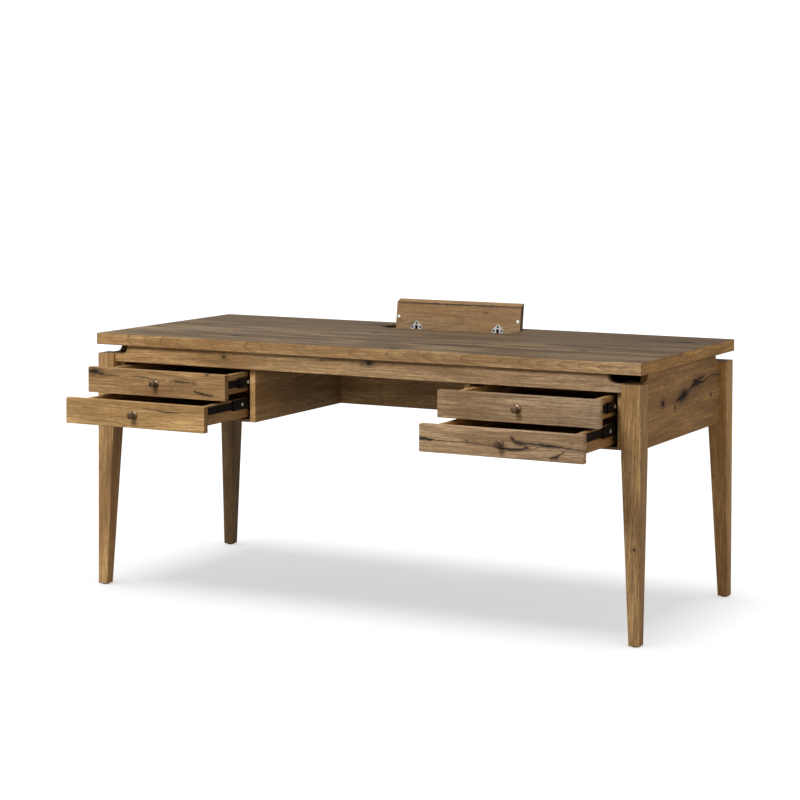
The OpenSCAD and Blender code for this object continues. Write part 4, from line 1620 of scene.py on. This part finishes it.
@dataclass
class CaseRails:
    """The eight outer slide channels, screwed to the walls of the drawer bays."""

    play: float = 3.0 * MM
    depth: float = 10.0 * MM
    height: float = 36.0 * MM
    lip: float = 1.8 * MM
    screws: tuple[float, ...] = (0.025, 0.225, 0.425)

    def build(self) -> None:
        """Makes the channels as one piece, each a little outside its middle rail."""
        low, high = size_of("case_slide_rails")
        rails = []
        for bank in Bank:
            mid_low, mid_high = size_of(f"{bank.value}_middle_rails")
            z = (mid_low[2] + mid_high[2]) / 2
            for wall, facing in ((mid_low[0] - self.play, 1.0), (mid_high[0] + self.play, -1.0)):
                rails.append(channel(wall, facing, self.depth, self.height, z, low[1], high[1],
                                     self.lip))
                rails += [rivet(wall + facing * 1.2 * MM, facing, low[1] + y, z, 3.4, 0.6, 1)
                          for y in self.screws]
        Piece("case_slides", "desk", "slide_steel", ("case_slide_rails",)).made(rails, [
            Metal("black_case_steel", *BLACK_STEEL, gloss=0.1).mix(),
            Metal("case_screw_zinc", (0.45, 0.44, 0.42), 0.4, 0.3).mix()])


# ---- Cable flap ----------------------------------------------------------------------------------
@dataclass
class CableFlap:
    """The flap over the cable opening, open against its stop on two pin hinges."""

    opened: float = 98.0
    hinge_x: float = 0.140
    plate: float = 2.5 * MM
    thick: float = 0.020
    past_pin: float = 0.016
    bumper_in: float = 0.009
    screws: tuple[tuple[float, float], ...] = ((-0.0135, -0.012), (0.0135, -0.012), (0.0, -0.024))

    def build(self) -> None:
        """Makes the flap, its hinges, their screws and the two bumpers."""
        pin_low, pin_high = size_of("flap_hinge_pins")
        slab_high = size_of("desk_top")[1]
        pin = Vector((0.0, (pin_low[1] + pin_high[1]) / 2, (pin_low[2] + pin_high[2]) / 2))
        rest_low, rest_high = size_of("flap_rests")
        swing = (Matrix.Translation(pin) @ Matrix.Rotation(-math.radians(self.opened), 4, "X")
                 @ Matrix.Translation(-pin))
        half = size_of("cable_flap")[1][0]
        front = (rest_low[1] + rest_high[1]) / 2
        low = np.array([-half, 2 * front - pin[1] - self.past_pin, slab_high[2] - self.thick])
        high = np.array([half, pin[1] + self.past_pin, slab_high[2]])
        self._board(swing, low, high)
        self._hinges(swing, pin, low[2])
        self._bumpers(swing, half, front, low[2])

    def _board(self, swing: Matrix, low: np.ndarray, high: np.ndarray) -> None:
        """Makes the board.

        Args:
            swing: The turn from closed to open.
            low: Lowest corner of the closed board.
            high: Its highest corner.
        """
        middle = swing @ Vector((low + high) / 2)
        wood = Oak("oak_flap", pale=(0.31, 0.197, 0.095), figure=0.6).cut(
            "board", low, high, Grain.X_FACING_Z, Sawn(
                seed=91, heart=(0.01, 0.07), slope=0.03, drift=0.02, ends=0.45,
                knots=(Knot(-150, 20, 4, 2.0, 0.8), Knot(96, -22, 3, 2.0, 0.6)),
                cracks=(Crack(((-214, -45), (0, -44.6), (214, -45)), (0.5, 0.7, 0.5), 2.5),)),
            -math.radians(self.opened), tuple(middle))
        upper = TOP_OAK.cut("flap_face", low, high, Grain.X_FACING_Z, Sawn(
            seed=3, heart=(0.0, 0.16), slope=0.02, shade=(0.90, 0.88, 0.84)),
            -math.radians(self.opened), tuple(middle))
        skin = eased_copy("cable_flap", 0.8 * MM)
        up = np.array(swing.to_3x3() @ Vector((0, 0, 1)))
        reach = np.array([(skin.points[f] @ up).min() for f in skin.faces])
        skin.marks = np.where(reach > (skin.points @ up).max() - 1e-5, 1, 0).tolist()
        Piece("flap_board", "cable_flap", "oak_top", ("cable_flap",)).made([skin], [wood, upper])

    def _hinges(self, swing: Matrix, pin: Vector, under: float) -> None:
        """Makes plates, screws, fixed brackets and pins.

        Args:
            swing: The turn from closed to open.
            pin: A point on the pins' axis.
            under: Underside of the closed flap.
        """
        zinc = Metal("hinge_zinc", (0.66, 0.65, 0.62), 0.34, 0.18, 0.85).mix()
        dark = Metal("black_screws", (0.03, 0.028, 0.026), 0.4, 0.4, 0.7).mix()
        for node, name, body in (("flap_hinge_plates", "hinge_plates", "cable_flap"),
                                 ("flap_hinge_brackets", "hinge_brackets", "desk"),
                                 ("flap_hinge_pins", "hinge_pins", "desk")):
            Piece(name, body, "hinge_zinc", (node,)).made([eased_copy(node, 0.25 * MM)], [zinc])
        head = np.array([[1.9, -9.0], [1.9, 0.0], [3.5, 0.05], [3.4, 0.35], [2.7, 0.65],
                         [1.6, 0.75], [1.2, 0.15]]) * MM
        heads = [turned(head, (side * self.hinge_x + x, pin[1] + y, under - self.plate), Run.Z,
                        -1.0, 24).moved(swing) for side in (-1, 1) for x, y in self.screws]
        Piece("hinge_screws", "cable_flap", "black_screws", ("flap_hinge_screws",)).made(
            heads, [dark])

    def _bumpers(self, swing: Matrix, half: float, middle: float, under: float) -> None:
        """Makes the two soft domes that land on the ledges.

        Args:
            swing: The turn from closed to open.
            half: Half length of the flap.
            middle: Where they stand, front to back, on the closed flap.
            under: Underside of the closed flap.
        """
        dome = np.array([[4.6, 0.0], [5.0, 0.2], [4.8, 0.7], [4.2, 1.2], [3.0, 1.6],
                         [1.0, 1.8]]) * MM
        domes = [turned(dome, (side * (half - self.bumper_in), middle, under), Run.Z, -1.0,
                        28).moved(swing) for side in (-1, 1)]
        Piece("soft_bumpers", "cable_flap", "bumper_plastic", ("flap_bumpers",)).made(
            domes, [Moulded("milky_bumper", (0.82, 0.80, 0.76), 0.35, 0.3).mix()])


def main() -> None:
    """Builds the studio and every sub-assembly, then keeps the drawers out of the floor's shadow.
    """
    logging.basicConfig(level=logging.INFO, format="%(message)s")
    studio = Studio()
    studio.build()
    Desktop().build()
    Legs().build()
    Panels().build()
    Carcass().build()
    CaseRails().build()
    CableFlap().build()
    for bank in Bank:
        Drawer(bank).build()
    studio.soften_drawers()


if __name__ == "__main__":
    main()
